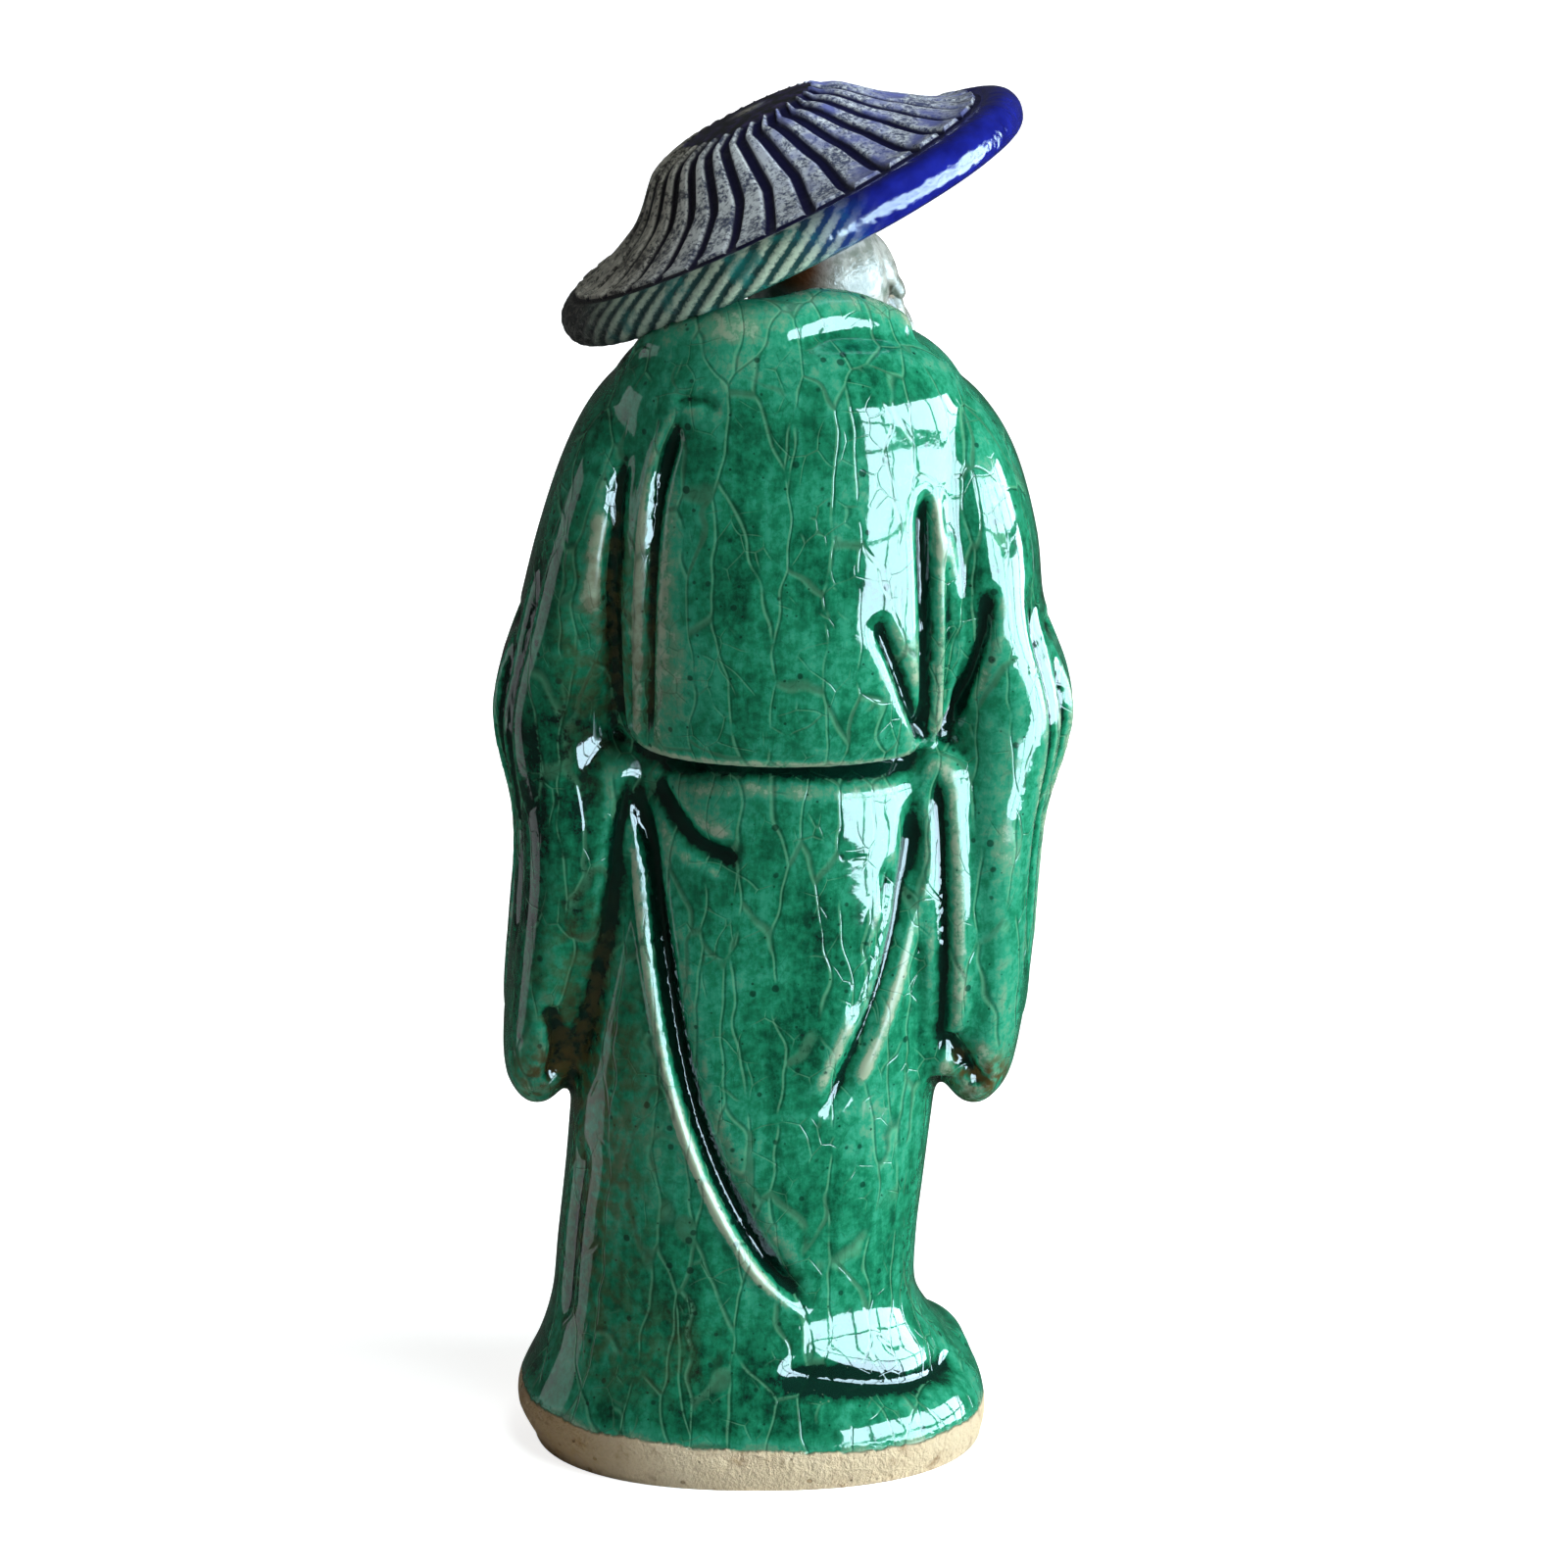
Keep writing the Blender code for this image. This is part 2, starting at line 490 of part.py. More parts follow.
def thin_out(body, triangles):
    """Collapse the body to the number of triangles that it keeps."""
    mesh = body.data
    bm = bmesh.new()
    bm.from_mesh(mesh)
    bmesh.ops.triangulate(bm, faces=bm.faces)
    bm.to_mesh(mesh)
    bm.free()
    collapse = body.modifiers.new("collapse", "DECIMATE")
    collapse.ratio = min(1.0, triangles / len(mesh.polygons))
    apply_modifiers(body)


def foot_rings():
    """The bare foot's rings, from below the cut to the underside of the glazed hem."""
    width = FOOT_WIDTH / 2 / SHARE
    depth = FOOT_DEPTH / 2 / SHARE
    hem = FOOT_RIM_HEIGHT * HEM_START / SHARE
    swell = HEM_SWELL / SHARE
    return (
        (BELOW_FOOT, FOOT_MIDDLE, 0.0, width, depth),
        (0.0, FOOT_MIDDLE, 0.0, width, depth),
        (hem, FOOT_MIDDLE / 2, 0.0, width + swell, depth + swell),
    )


def make_robe():
    """Skirt, jacket, sleeves and forearms, with the hem swelling above the bare foot."""
    bm = bmesh.new()
    loft(bm, smooth_rows(foot_rings() + SKIRT_RINGS))
    loft(bm, smooth_rows(JACKET_RINGS))
    loft(bm, smooth_rows(LEFT_SLEEVE_RINGS))
    loft(bm, smooth_rows(RIGHT_SLEEVE_RINGS))
    loft(bm, smooth_rows(SLEEVE_BAG_RINGS))
    mirrored = [(z, 2 * lean(z) - x, *rest) for z, x, *rest in SLEEVE_BAG_RINGS]
    loft(bm, smooth_rows(mirrored))
    for roll in (FOREARM_ROLL, SHOE_ROLL, FRONT_HEM_ROLL):
        beads(bm, roll)
        beads(bm, roll, mirrored=True)
    for roll in (COLLAR_ROLL, LEFT_VALLEY_ROLL, RIGHT_VALLEY_ROLL):
        beads(bm, roll)
    robe = fuse("robe", bm, BODY_GRAIN, 6)
    carve(robe, robe_sides(), FOLD_DEPTH)
    thin_out(robe, BODY_TRIANGLES)
    return robe


def beard_locks():
    """Grooves that run down the beard and gather towards its tip."""
    locks = []
    for lock in range(BEARD_LOCKS):
        spread = 2 * (lock + 0.5) / BEARD_LOCKS - 1
        points = []
        for side, forward, up, radius in BEARD_ROLL:
            points.append((side + spread * BEARD_LOCK_SPAN * radius, up))
        locks.append(("groove", 0.5, 0.7, tuple(points)))
    return tuple(locks)


def make_head():
    """A calm, generic old man's head with brows, nose, ears, moustache and long beard."""
    bm = bmesh.new()
    frame = head_frame()
    for form in HEAD_FORMS:
        add_form(bm, frame, *form)
    for side_way, *rest in PAIRED_HEAD_FORMS:
        add_form(bm, frame, side_way, *rest)
        add_form(bm, frame, -side_way, *rest)
    roll_in_frame(bm, frame, NOSE_ROLL)
    roll_in_frame(bm, frame, BEARD_ROLL, flatten=(1.0, BEARD_FLATNESS, 1.0))
    for roll in (BROW_ROLL, MOUSTACHE_ROLL, WHISKER_ROLL):
        roll_in_frame(bm, frame, roll)
        roll_in_frame(bm, frame, roll, side=-1.0)
    head = fuse("head", bm, HEAD_GRAIN, 3)
    carve(head, ((frame, FACE_FOLDS + beard_locks()),), FACE_DEPTH)
    thin_out(head, HEAD_TRIANGLES)
    return head


def hat_profile():
    """Radius, height and kind of the hat's rings from the crown's top to the underside."""
    width = HAT_RADIUS - HAT_CROWN_RADIUS
    rings = []
    for out, up in HAT_CROWN_RINGS:
        rings.append((HAT_CROWN_RADIUS * out, HAT_CROWN_RISE * up, "crown"))
    for out, up in HAT_BRIM_RINGS:
        rings.append((HAT_CROWN_RADIUS + width * out, HAT_CROWN_RISE * up, "panel"))
    out, up = HAT_GROOVE_RING
    rings.append((HAT_CROWN_RADIUS + width * out, HAT_CROWN_RISE * up, "groove"))
    for out, up in HAT_RIM_RINGS:
        rings.append((HAT_RADIUS * out, HAT_RIM_HEIGHT * up, "strand"))
    for out, up in HAT_UNDER_RINGS:
        rings.append((HAT_RADIUS * out, HAT_RIM_HEIGHT * up, "under"))
    return rings


def hat_ring_point(radius, height, kind, step, steps):
    """One point of a ring, moved on to its panel, its groove or its strand."""
    angle = 2 * math.pi * step / steps
    panel_steps = steps // HAT_PANELS
    place_in_panel = step % panel_steps
    if kind == "panel" and place_in_panel == 0:
        height -= HAT_PANEL_RAISE / 2
    elif kind == "panel":
        outward = 1 if place_in_panel == panel_steps - 1 else -1
        angle += outward * HAT_PANEL_SPREAD * 2 * math.pi / HAT_PANELS
        height += HAT_PANEL_RAISE / 2
    elif kind == "strand":
        raised = 1 if step % (steps // HAT_STRANDS) == 0 else -1
        radius += raised * HAT_STRAND_RAISE / 2
        angle += HAT_STRAND_SLOPE * (1 - height / HAT_RIM_HEIGHT)
    shift = 0.0
    if kind != "under":
        outs, drifts = zip(*HAT_DRIFT)
        shift = HAT_RADIUS * float(np.interp(radius / HAT_RADIUS, outs, drifts))
    return Vector((radius * math.cos(angle) + shift, radius * math.sin(angle), height))


def make_hat():
    """The wide hat: a low crown, raised radial panels, and a thick rim of slanting strands."""
    steps = math.lcm(HAT_PANELS, HAT_STRANDS)
    bm = bmesh.new()
    first = bmesh.ops.create_circle(bm, cap_ends=False, segments=steps, radius=HAT_CROWN_RADIUS)
    loop = first["verts"]
    crown_loop = loop
    edges = list(bm.edges)
    for level, (radius, height, kind) in enumerate(hat_profile()):
        if level:
            made = bmesh.ops.extrude_edge_only(bm, edges=edges)["geom"]
            edges = [item for item in made if isinstance(item, bmesh.types.BMEdge)]
            fresh = [item for item in made if isinstance(item, bmesh.types.BMVert)]
            loop = order_like(loop, fresh)
        for step, vert in enumerate(loop):
            vert.co = hat_ring_point(radius, height, kind, step, steps)
    close_pole(bm, crown_loop, Vector((HAT_RADIUS * HAT_DRIFT[0][1], 0.0, HAT_CROWN_RISE)))
    close_pole(bm, loop, Vector((0.0, 0.0, HAT_RIM_HEIGHT * HAT_UNDER_MIDDLE)))
    bmesh.ops.recalc_face_normals(bm, faces=bm.faces)
    bmesh.ops.triangulate(bm, faces=bm.faces)
    mesh = bpy.data.meshes.new("hat")
    bm.to_mesh(mesh)
    bm.free()
    hat = bpy.data.objects.new("hat", mesh)
    bpy.context.collection.objects.link(hat)
    frame = head_frame()
    up = (frame.to_3x3() @ Vector((0.0, 0.0, 1.0))).normalized()
    seat = Vector(HEAD_CENTRE) * SHARE + up * HAT_ABOVE_HEAD * SHARE
    turn = frame.to_3x3().normalized().to_4x4()
    mesh.transform(Matrix.Translation(seat) @ turn)
    return hat


def order_like(old_loop, fresh):
    """The freshly extruded vertices, in the order of the loop that they came from."""
    fresh_set = set(fresh)
    ordered = []
    for vert in old_loop:
        for edge in vert.link_edges:
            other = edge.other_vert(vert)
            if other in fresh_set:
                ordered.append(other)
    return ordered


def close_pole(bm, loop, place):
    """Close a ring with a fan of triangles round one middle point."""
    pole = bm.verts.new(place)
    for index, vert in enumerate(loop):
        bm.faces.new((vert, loop[(index + 1) % len(loop)], pole))


def join_into(body, other):
    """Fuse another solid to the body, as luted clay."""
    union = body.modifiers.new("luted", "BOOLEAN")
    union.operation = "UNION"
    union.solver = "EXACT"
    union.object = other
    apply_modifiers(body)
    bpy.data.objects.remove(other, do_unlink=True)


def flatten_foot(body):
    """Cut the figure flat at its foot and close the cut."""
    bm = bmesh.new()
    bm.from_mesh(body.data)
    geometry = bm.verts[:] + bm.edges[:] + bm.faces[:]
    bmesh.ops.bisect_plane(bm, geom=geometry, plane_co=(0, 0, 0), plane_no=(0, 0, 1),
                           clear_inner=True)
    rim = [edge for edge in bm.edges if edge.is_boundary]
    bmesh.ops.holes_fill(bm, edges=rim)
    bmesh.ops.dissolve_degenerate(bm, edges=bm.edges, dist=0.00001)
    bmesh.ops.triangulate(bm, faces=bm.faces)
    bm.to_mesh(body.data)
    bm.free()


def green_glaze():
    material = bpy.data.materials.new("green_glaze")
    material.use_nodes = True
    shader = material.node_tree.nodes["Principled BSDF"]
    shader.inputs["Base Color"].default_value = (0.03, 0.22, 0.10, 1.0)
    shader.inputs["Roughness"].default_value = 0.12
    shader.inputs["Metallic"].default_value = 0.0
    return material


def main():
    clear_scene()
    figurine = make_robe()
    join_into(figurine, make_head())
    join_into(figurine, make_hat())
    flatten_foot(figurine)
    figurine.name = "figurine"
    figurine.data.name = "figurine"
    figurine.data.materials.clear()
    figurine.data.materials.append(green_glaze())
    figurine.data.shade_smooth()
    figurine.data.set_sharp_from_angle(angle=math.radians(50.0))


if __name__ == "__main__":
    main()
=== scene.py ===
"""Looks of a mudman figurine: a green crackle-glazed robe, a worn ribbed hat and a bearded head.

Run it as a script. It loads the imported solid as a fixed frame, models the robe, the hat and the
head in its place, and sets up a plain studio stage. Sizes are in metres, +Z is up, and the figure
faces -Y. The body's tables are in shares of the figure's height, and patterns are in millimetres.
"""

import json
import math

import bmesh
import bpy
import numpy as np
from bpy.props import FloatProperty, FloatVectorProperty, IntProperty, PointerProperty
from bpy.types import Operator, Panel, PropertyGroup
from mathutils import Matrix, Vector
from mathutils.bvhtree import BVHTree

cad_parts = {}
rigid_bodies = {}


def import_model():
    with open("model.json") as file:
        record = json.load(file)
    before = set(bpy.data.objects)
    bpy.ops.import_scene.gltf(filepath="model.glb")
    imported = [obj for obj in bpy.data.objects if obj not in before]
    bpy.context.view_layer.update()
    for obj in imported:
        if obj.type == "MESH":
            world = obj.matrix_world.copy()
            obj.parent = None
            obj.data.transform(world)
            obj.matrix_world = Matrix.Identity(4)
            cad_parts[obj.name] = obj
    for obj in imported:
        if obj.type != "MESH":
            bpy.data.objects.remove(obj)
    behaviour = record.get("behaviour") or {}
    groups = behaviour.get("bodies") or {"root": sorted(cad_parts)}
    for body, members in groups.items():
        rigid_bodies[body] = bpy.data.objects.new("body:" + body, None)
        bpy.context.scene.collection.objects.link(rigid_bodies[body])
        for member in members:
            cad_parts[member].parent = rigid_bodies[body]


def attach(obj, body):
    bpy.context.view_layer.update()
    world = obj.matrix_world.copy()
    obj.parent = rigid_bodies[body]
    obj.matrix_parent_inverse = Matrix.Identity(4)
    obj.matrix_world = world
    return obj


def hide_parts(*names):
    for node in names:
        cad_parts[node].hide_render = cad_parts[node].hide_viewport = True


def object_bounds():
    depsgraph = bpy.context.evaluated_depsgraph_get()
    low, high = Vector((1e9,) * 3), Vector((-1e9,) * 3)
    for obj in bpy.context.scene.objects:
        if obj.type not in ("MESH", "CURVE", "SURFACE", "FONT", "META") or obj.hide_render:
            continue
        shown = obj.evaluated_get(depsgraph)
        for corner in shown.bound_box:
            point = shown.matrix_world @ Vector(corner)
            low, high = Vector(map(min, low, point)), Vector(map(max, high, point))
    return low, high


bl_info = {
    "name": "Mudman Figurine",
    "version": (1, 0, 0),
    "blender": (4, 5, 0),
    "location": "View3D > Sidebar > Figurine",
    "description": "Models and glazes a small mudman figurine round its packed solid",
    "category": "Object",
}

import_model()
CAD_LOW, CAD_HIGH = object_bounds()
CAD_NODE = "figurine"
BODY = "root"

# The tables of the body are given in shares of the height, for a figure that is 89.3 shares tall
SHARES_TALL = 89.3
MILLIMETRE = 0.001

# The hat's section from the crown's top to the underside's middle. Crown rings are shares of the
# crown's radius and rise, brim rings are shares of the brim's width beyond the crown and of the
# rise, and the last two kinds are shares of the whole radius and of the rim's height. The third
# number is how fully the panels or the strands stand out there
HAT_CROWN_RINGS = (
    (0.25, 1.0, 0.0),
    (0.50, 0.99, 0.0),
    (0.68, 0.965, 0.0),
    (0.78, 0.94, 1.0),
    (0.95, 0.865, 1.0),
)
HAT_BRIM_RINGS = (
    (0.05, 0.80, 1.0),
    (0.12, 0.70, 1.0),
    (0.27, 0.46, 1.0),
    (0.46, 0.25, 1.0),
    (0.66, 0.085, 1.0),
    (0.77, 0.045, 1.0),
    (0.795, 0.04, 1.0),
    (0.805, 0.01, 0.0),
    (0.835, 0.0, 0.0),
)
HAT_RIM_RINGS = (
    (0.905, 0.0, 0.4),
    (0.925, 0.02, 1.0),
    (0.955, -0.03, 1.0),
    (0.985, -0.16, 1.0),
    (1.0, -0.40, 1.0),
    (0.985, -0.68, 1.0),
    (0.94, -0.83, 0.6),
)
HAT_UNDER_RINGS = ((0.85, -0.85), (0.72, -0.66), (0.40, -0.42), (0.10, -0.36))
HAT_UNDER_MIDDLE = -0.35
# How far a ring lies off the hat's middle, towards its lowered side: both in shares of the radius
HAT_DRIFT = ((0.0, -0.024), (0.27, -0.024), (0.36, 0.020), (0.60, -0.012), (0.80, 0.021),
             (0.89, 0.028), (0.96, 0.0))
# What each vertex of the hat is marked with, for its glaze
HAT_MARKS = ("groove", "strand", "rim", "blue", "crown")
HAT_STEPS = 768
HAT_RING_STEPS = 4
# The grooves widen outwards from the crown's edge. Panels and strands stand out from a level that
# lies this share of their depth over the grooves
GROOVE_WIDENING = 1.6
CROWN_EDGE = 0.74
RELIEF_LEVEL = 0.6
STRAND_POWER = 0.6
# The rim is bluest at this angle, and its strands are filled where it is bluer than the first
# number, and where it is less blue than the second. Each fill comes in over the third
BLUE_ANGLE = math.radians(190.0)
FILL_LIMITS = (0.55, 0.22, 0.2)
RAISED_FILL = 0.92
LOWERED_FILL = 0.6

# How the parts are turned, and how the head sits
HAT_TILT = math.radians(26.3)
HAT_NOD = math.radians(3.3)
HEAD_TURN = math.radians(12.0)
STRAND_SLOPE = math.radians(20.0)

# Fineness of the rings, curves and beads. A fold's reach, cliff and bank are in half widths of
# the fold, its fade is a share of its length, and its bank's height a share of its depth
RING_SIDES = 96
CURVE_STEPS = 10
BEAD_STEPS = 7
ROLL_STEPS = 8
RING_POWER = 2.3
FOLD_REACH = 2.4
FOLD_FADE = 0.14
GROOVE_POWER = 1.6
CLIFF_WIDTHS = (0.5, 1.5)
CLIFF_POWERS = (1.5, 1.8)
BANK_MIDDLE = 0.65
BANK_HALF_WIDTH = 0.55
BANK_HEIGHT = 0.22
FACES_OUT = -0.2
OUTSIDE = 60.0
ROBE_SOFTENING = 14
HEAD_SOFTENING = 6
CARVING_SOFTENING = 4
FINE_ROUNDS = 12
BROAD_ROUNDS = 90

# The finer folds that only the finished back has, beside those of the table below
FINE_BACK_FOLDS = (
    ("groove", 0.7, 0.5, ((-9.0, 42.0), (-8.2, 37.0), (-6.2, 30.8))),
)

# How strongly the glaze thins on ridges and pools in hollows, and how unevenly it lies: noise size
# in millimetres, detail, roughness, and the most that it takes away and adds
RIDGE_THINNING = 0.30
FORM_THINNING = 0.12
BANK_THINNING = 0.22
HOLLOW_POOLING = 0.20
GROOVE_POOLING = 0.48
VALLEY_POOLING = 0.25
BORDER_THINNING = 0.30
GLAZE_BROAD = (9.0, 2.0, 0.5, -0.10, 0.12)
GLAZE_RUNS = (1.0, 4.0, 0.65, -0.10, 0.12)
GLAZE_MOTTLE = (0.8, 5.0, 0.70, -0.11, 0.14)
RUN_SQUEEZE = (0.60, 0.60, 0.11)
GLAZE_LEVEL = 0.62
# Where the bare clay begins, how far that line wanders and frays, in millimetres, and its slope
CLAY_LINE = 2.9
CLAY_WANDER = 1.3
CLAY_RAGGED = 0.6
CLAY_RISE = 0.045
# The deep pool over the hem, where the glaze is dotted with pale bubbles: middle and radii
HEM_POOL = ((-7.4, 11.5, 6.9), (7.5, 7.0, 1.9))
# Broad washes of thinner or thicker glaze: middle and radii in millimetres, and their change. The
# last one thickens the glaze over the figure's left side as painted shade
WASHES_AND_PAINTED_SHADE = (
    ((6.6, 9.5, 57.0), (4.4, 9.0, 12.0), -0.26),
    ((7.8, 9.0, 24.0), (4.2, 9.0, 14.0), -0.20),
    ((3.2, 9.0, 44.0), (3.6, 6.0, 3.4), -0.26),
    ((-8.5, 9.0, 26.0), (5.0, 9.0, 14.0), -0.14),
    ((1.0, 6.0, 77.0), (9.0, 9.0, 4.5), -0.10),
    (*HEM_POOL, 0.60),
    ((13.5, 6.0, 14.0), (5.0, 9.0, 9.0), 0.20),
    # Painted shade: thicker, darker glaze over the figure's whole left side
    ((14.0, 2.0, 44.0), (6.0, 11.0, 26.0), 0.32),
)

# Brown stains of the glaze: middle and radii in millimetres, and strength. The last two are broad
# and also paint shade over the figure's left back and left skirt
STAINS_AND_PAINTED_SHADE = (
    ((13.6, 3.0, 26.0), (3.4, 7.0, 3.4), 0.85),
    ((-15.0, 3.0, 25.8), (3.8, 7.0, 3.8), 1.00),
    ((9.0, 9.0, 9.0), (9.0, 9.0, 5.0), 0.30),
    # Broad stains on the figure's left: brown stain and painted shade
    ((9.0, 9.5, 56.0), (5.5, 9.0, 14.0), 0.60),
    ((11.0, 8.0, 24.0), (6.5, 11.0, 20.0), 0.65),
)

# The glaze's colours by its thickness
GLAZE_STOPS = ((0.00, "green_bare"), (0.20, "green_thin"), (0.42, "green_middle"),
               (0.62, "green_full"), (0.84, "green_thick"), (1.00, "green_deep"))
# Nets of crazing lines: cell width, cell height and line width in millimetres, seed, and share of
# gaps. Then how strongly the dark and the pale side of each net's lines show, and how they cut in.
# The pale side is a painted highlight: the line copied, shifted up and towards -x.
# The finest net has no pale side and no depth, and the deepest glaze hides pale sides
CRACKLES = (
    (2.6, 14.0, 0.10, 4.0, 0.34),
    (2.2, 2.6, 0.06, 31.0, 0.50),
    (0.9, 1.5, 0.05, 57.0, 0.46),
)
DARK_SHARES = (0.50, 0.40, 0.22)
PAINTED_HIGHLIGHT_SHARES = (0.36, 0.26)
CRACK_CUTS = (-1.0, -0.6)
PAINTED_HIGHLIGHTS_HIDDEN = (1.0, 0.85)
# Dots: spacing and largest radius in millimetres, and the share of places that have one
SPECKS = ((1.4, 0.26, 0.8), (0.7, 0.10, 0.6))
BUBBLES = (0.55, 0.09, 0.7)
PITS = (1.2, 0.22, 0.7)
# Heights of the finest relief, in metres
GLAZE_WAVES = 0.00008
CRACK_DEPTH = 0.000012
GLAZE_LIP = 0.00010
CLAY_GRIT = 0.00050
HAT_SCRATCHES = 0.00018
HAT_WAVES = 0.00022
HEAD_SKIN = 0.00006

# Brown at the nape, partly brown hair and partly painted shade of the gap under the hat's brim:
# middle and radii in millimetres
NAPE_AND_SHADE = ((-2.6, -3.0, 79.0), (3.6, 6.0, 3.4))
# The side of the bare clay that is darker, towards the figure's left: middle and radii in
# millimetres
CLAY_DARKER_SIDE = ((16.0, 9.0, 2.0), (12.0, 14.0, 7.0))

GLAZE_IOR = 1.62

# The floor's own light, the room, and what the camera, in millimetres, and the lights aim at
FLOOR_GLOW = 0.80
ROOM_TINT = (0.95, 0.97, 0.92, 1.0)
ROOM_STRENGTH = 0.045
VIEW_TARGET = (-2.06, 0.0, 45.0)
LIGHT_TARGET = (0.0, 0.0, 0.045)
# Each window: azimuth and elevation of its middle, distance, columns, rows, pane size, gap, power
# of a pane in watts, and tint
WINDOWS = (
    ("side_window", math.radians(74.0), math.radians(-1.0), 0.60, 5, 2, (0.225, 0.185), 0.02,
     2.2, (0.62, 0.86, 1.0)),
    ("left_window", math.radians(-105.0), math.radians(-4.0), 0.70, 1, 1, (0.34, 0.45), 0.02,
     0.35, (0.92, 0.97, 1.0)),
)
# Each soft panel: direction, distance, width, height, power in watts, and tint
PANELS = (
    ("key", (-1.0, 0.32, 0.26), 0.8, 0.35, 0.35, 8.5, (0.88, 1.0, 1.0)),
    ("top", (-0.45, 0.35, 1.0), 0.9, 0.5, 0.4, 4.2, (0.90, 1.0, 1.0)),
    ("left", (1.0, -0.8, 0.25), 0.9, 0.4, 0.4, 0.30, (1.0, 0.95, 0.85)),
    ("face", (-0.2, -1.0, 0.25), 0.9, 0.5, 0.5, 2.6, (1.0, 1.0, 1.0)),
)

# Body rings: height, middle x, middle y, half width, half depth
SKIRT_RINGS = (
    (2.6, 0.25, -0.1, 15.6, 12.5),
    (4.0, 0.3, -0.1, 15.1, 12.2),
    (6.3, 0.7, 0.0, 13.6, 11.3),
    (9.5, 1.25, 0.1, 12.15, 10.15),
    (13.5, 1.1, 0.1, 11.9, 9.85),
    (19.0, 0.5, 0.1, 11.9, 9.7),
    (26.0, -0.2, 0.1, 12.0, 9.5),
    (33.0, -0.9, 0.0, 11.9, 9.3),
    (40.0, -1.6, 0.0, 11.2, 9.1),
    (46.0, -2.0, 0.0, 10.4, 8.9),
    (51.0, -2.1, 0.0, 9.8, 8.8),
)
JACKET_RINGS = (
    (49.0, -2.1, 0.6, 10.4, 9.5),
    (50.2, -2.1, 0.7, 11.1, 10.2),
    (53.0, -2.1, 0.6, 11.5, 10.6),
    (58.0, -2.2, 0.7, 12.2, 10.6),
    (64.0, -2.3, 0.6, 12.6, 10.2),
    (68.6, -2.4, 0.5, 12.2, 9.4),
    (71.9, -2.2, 1.1, 11.3, 8.6),
    (74.0, -2.1, 1.5, 9.8, 7.5),
    (75.4, -1.9, 1.8, 7.6, 6.1),
    (76.3, -1.6, 1.9, 4.6, 3.9),
)
LEFT_SLEEVE_RINGS = (
    (23.4, 14.2, -1.6, 1.3, 4.2),
    (25.0, 14.1, -1.7, 2.3, 5.8),
    (28.0, 13.8, -1.8, 2.7, 6.8),
    (33.0, 12.9, -1.9, 3.2, 7.4),
    (38.0, 12.1, -2.0, 3.6, 7.9),
    (43.0, 11.9, -2.0, 3.8, 8.2),
    (50.0, 12.3, -2.2, 4.6, 8.0),
    (56.4, 11.2, -1.2, 4.0, 8.0),
    (61.6, 10.0, -0.6, 3.9, 7.6),
    (66.8, 8.6, -0.2, 3.6, 6.8),
    (70.5, 7.3, 0.0, 3.0, 5.4),
    (73.3, 5.9, 0.0, 1.9, 3.4),
)
RIGHT_SLEEVE_RINGS = (
    (23.4, -14.5, -1.6, 1.3, 4.2),
    (25.0, -14.6, -1.7, 2.4, 5.8),
    (28.0, -14.9, -1.8, 2.8, 6.8),
    (33.0, -15.3, -1.9, 3.1, 7.4),
    (38.0, -15.4, -2.0, 3.3, 7.9),
    (43.0, -15.6, -2.0, 3.6, 8.2),
    (50.0, -16.1, -2.2, 4.8, 8.0),
    (56.4, -15.0, -1.2, 4.0, 8.0),
    (61.6, -14.4, -0.6, 4.0, 7.6),
    (66.8, -13.2, -0.2, 3.8, 6.8),
    (70.4, -11.7, 0.2, 3.2, 5.4),
    (72.8, -10.1, 0.4, 2.1, 3.4),
)
# The bag of cloth that hangs in front of each sleeve, on the figure's left
SLEEVE_BAG_RINGS = (
    (25.6, 14.6, -5.4, 1.4, 1.7),
    (28.0, 14.4, -6.0, 2.3, 2.6),
    (33.0, 13.3, -7.6, 3.1, 3.0),
    (38.0, 12.1, -9.0, 3.9, 3.2),
    (43.0, 11.0, -10.0, 5.0, 3.3),
    (48.0, 9.8, -10.6, 5.8, 3.1),
)
# The middle of the figure leans towards its right as it rises: height, middle x
LEAN = ((0.0, -0.3), (13.0, 1.0), (24.0, -0.6), (31.0, -0.95), (38.0, -1.45), (46.0, -1.9),
        (90.0, -2.2))

FOOT_MIDDLE = -0.3
BELOW_FOOT = -2.0
HEM_START = 0.7

# Rolls of clay: x, y, height, radius
FOREARM_ROLL = (
    (11.0, -0.5, 59.0, 2.9),
    (12.4, -0.6, 54.6, 3.3),
    (13.2, -3.2, 49.6, 3.6),
    (12.0, -7.8, 48.2, 3.9),
    (8.0, -11.2, 48.0, 4.3),
    (3.0, -12.6, 48.2, 4.6),
    (-0.6, -12.9, 48.6, 4.5),
)
SHOE_ROLL = ((5.0, -9.0, 1.7, 2.8), (5.3, -12.4, 1.5, 2.5))
FRONT_HEM_ROLL = ((6.0, -9.6, 3.4, 2.6), (11.0, -6.4, 3.6, 2.7), (12.6, -2.6, 3.8, 2.2))
# The rounded collar that the lowered side of the hat is luted to
COLLAR_ROLL = (
    (5.9, 3.0, 73.9, 1.9),
    (3.9, 4.5, 74.9, 2.3),
    (1.0, 5.4, 75.7, 2.5),
    (-2.0, 5.4, 76.3, 2.2),
    (-4.2, 4.4, 76.8, 2.0),
    (-6.4, 3.5, 76.4, 1.9),
    (-8.6, 2.6, 75.5, 1.7),
)
# Clay pressed into the hollows between the skirt and the hanging sleeves
LEFT_VALLEY_ROLL = (
    (8.9, 3.6, 46.5, 2.4),
    (9.4, 3.7, 40.0, 2.3),
    (10.3, 3.5, 33.0, 2.0),
    (11.4, 3.0, 27.5, 1.4),
)
RIGHT_VALLEY_ROLL = (
    (-11.9, 3.8, 46.5, 2.7),
    (-12.3, 4.0, 40.0, 2.7),
    (-12.5, 4.0, 33.0, 2.5),
    (-12.5, 3.4, 27.5, 1.8),
)

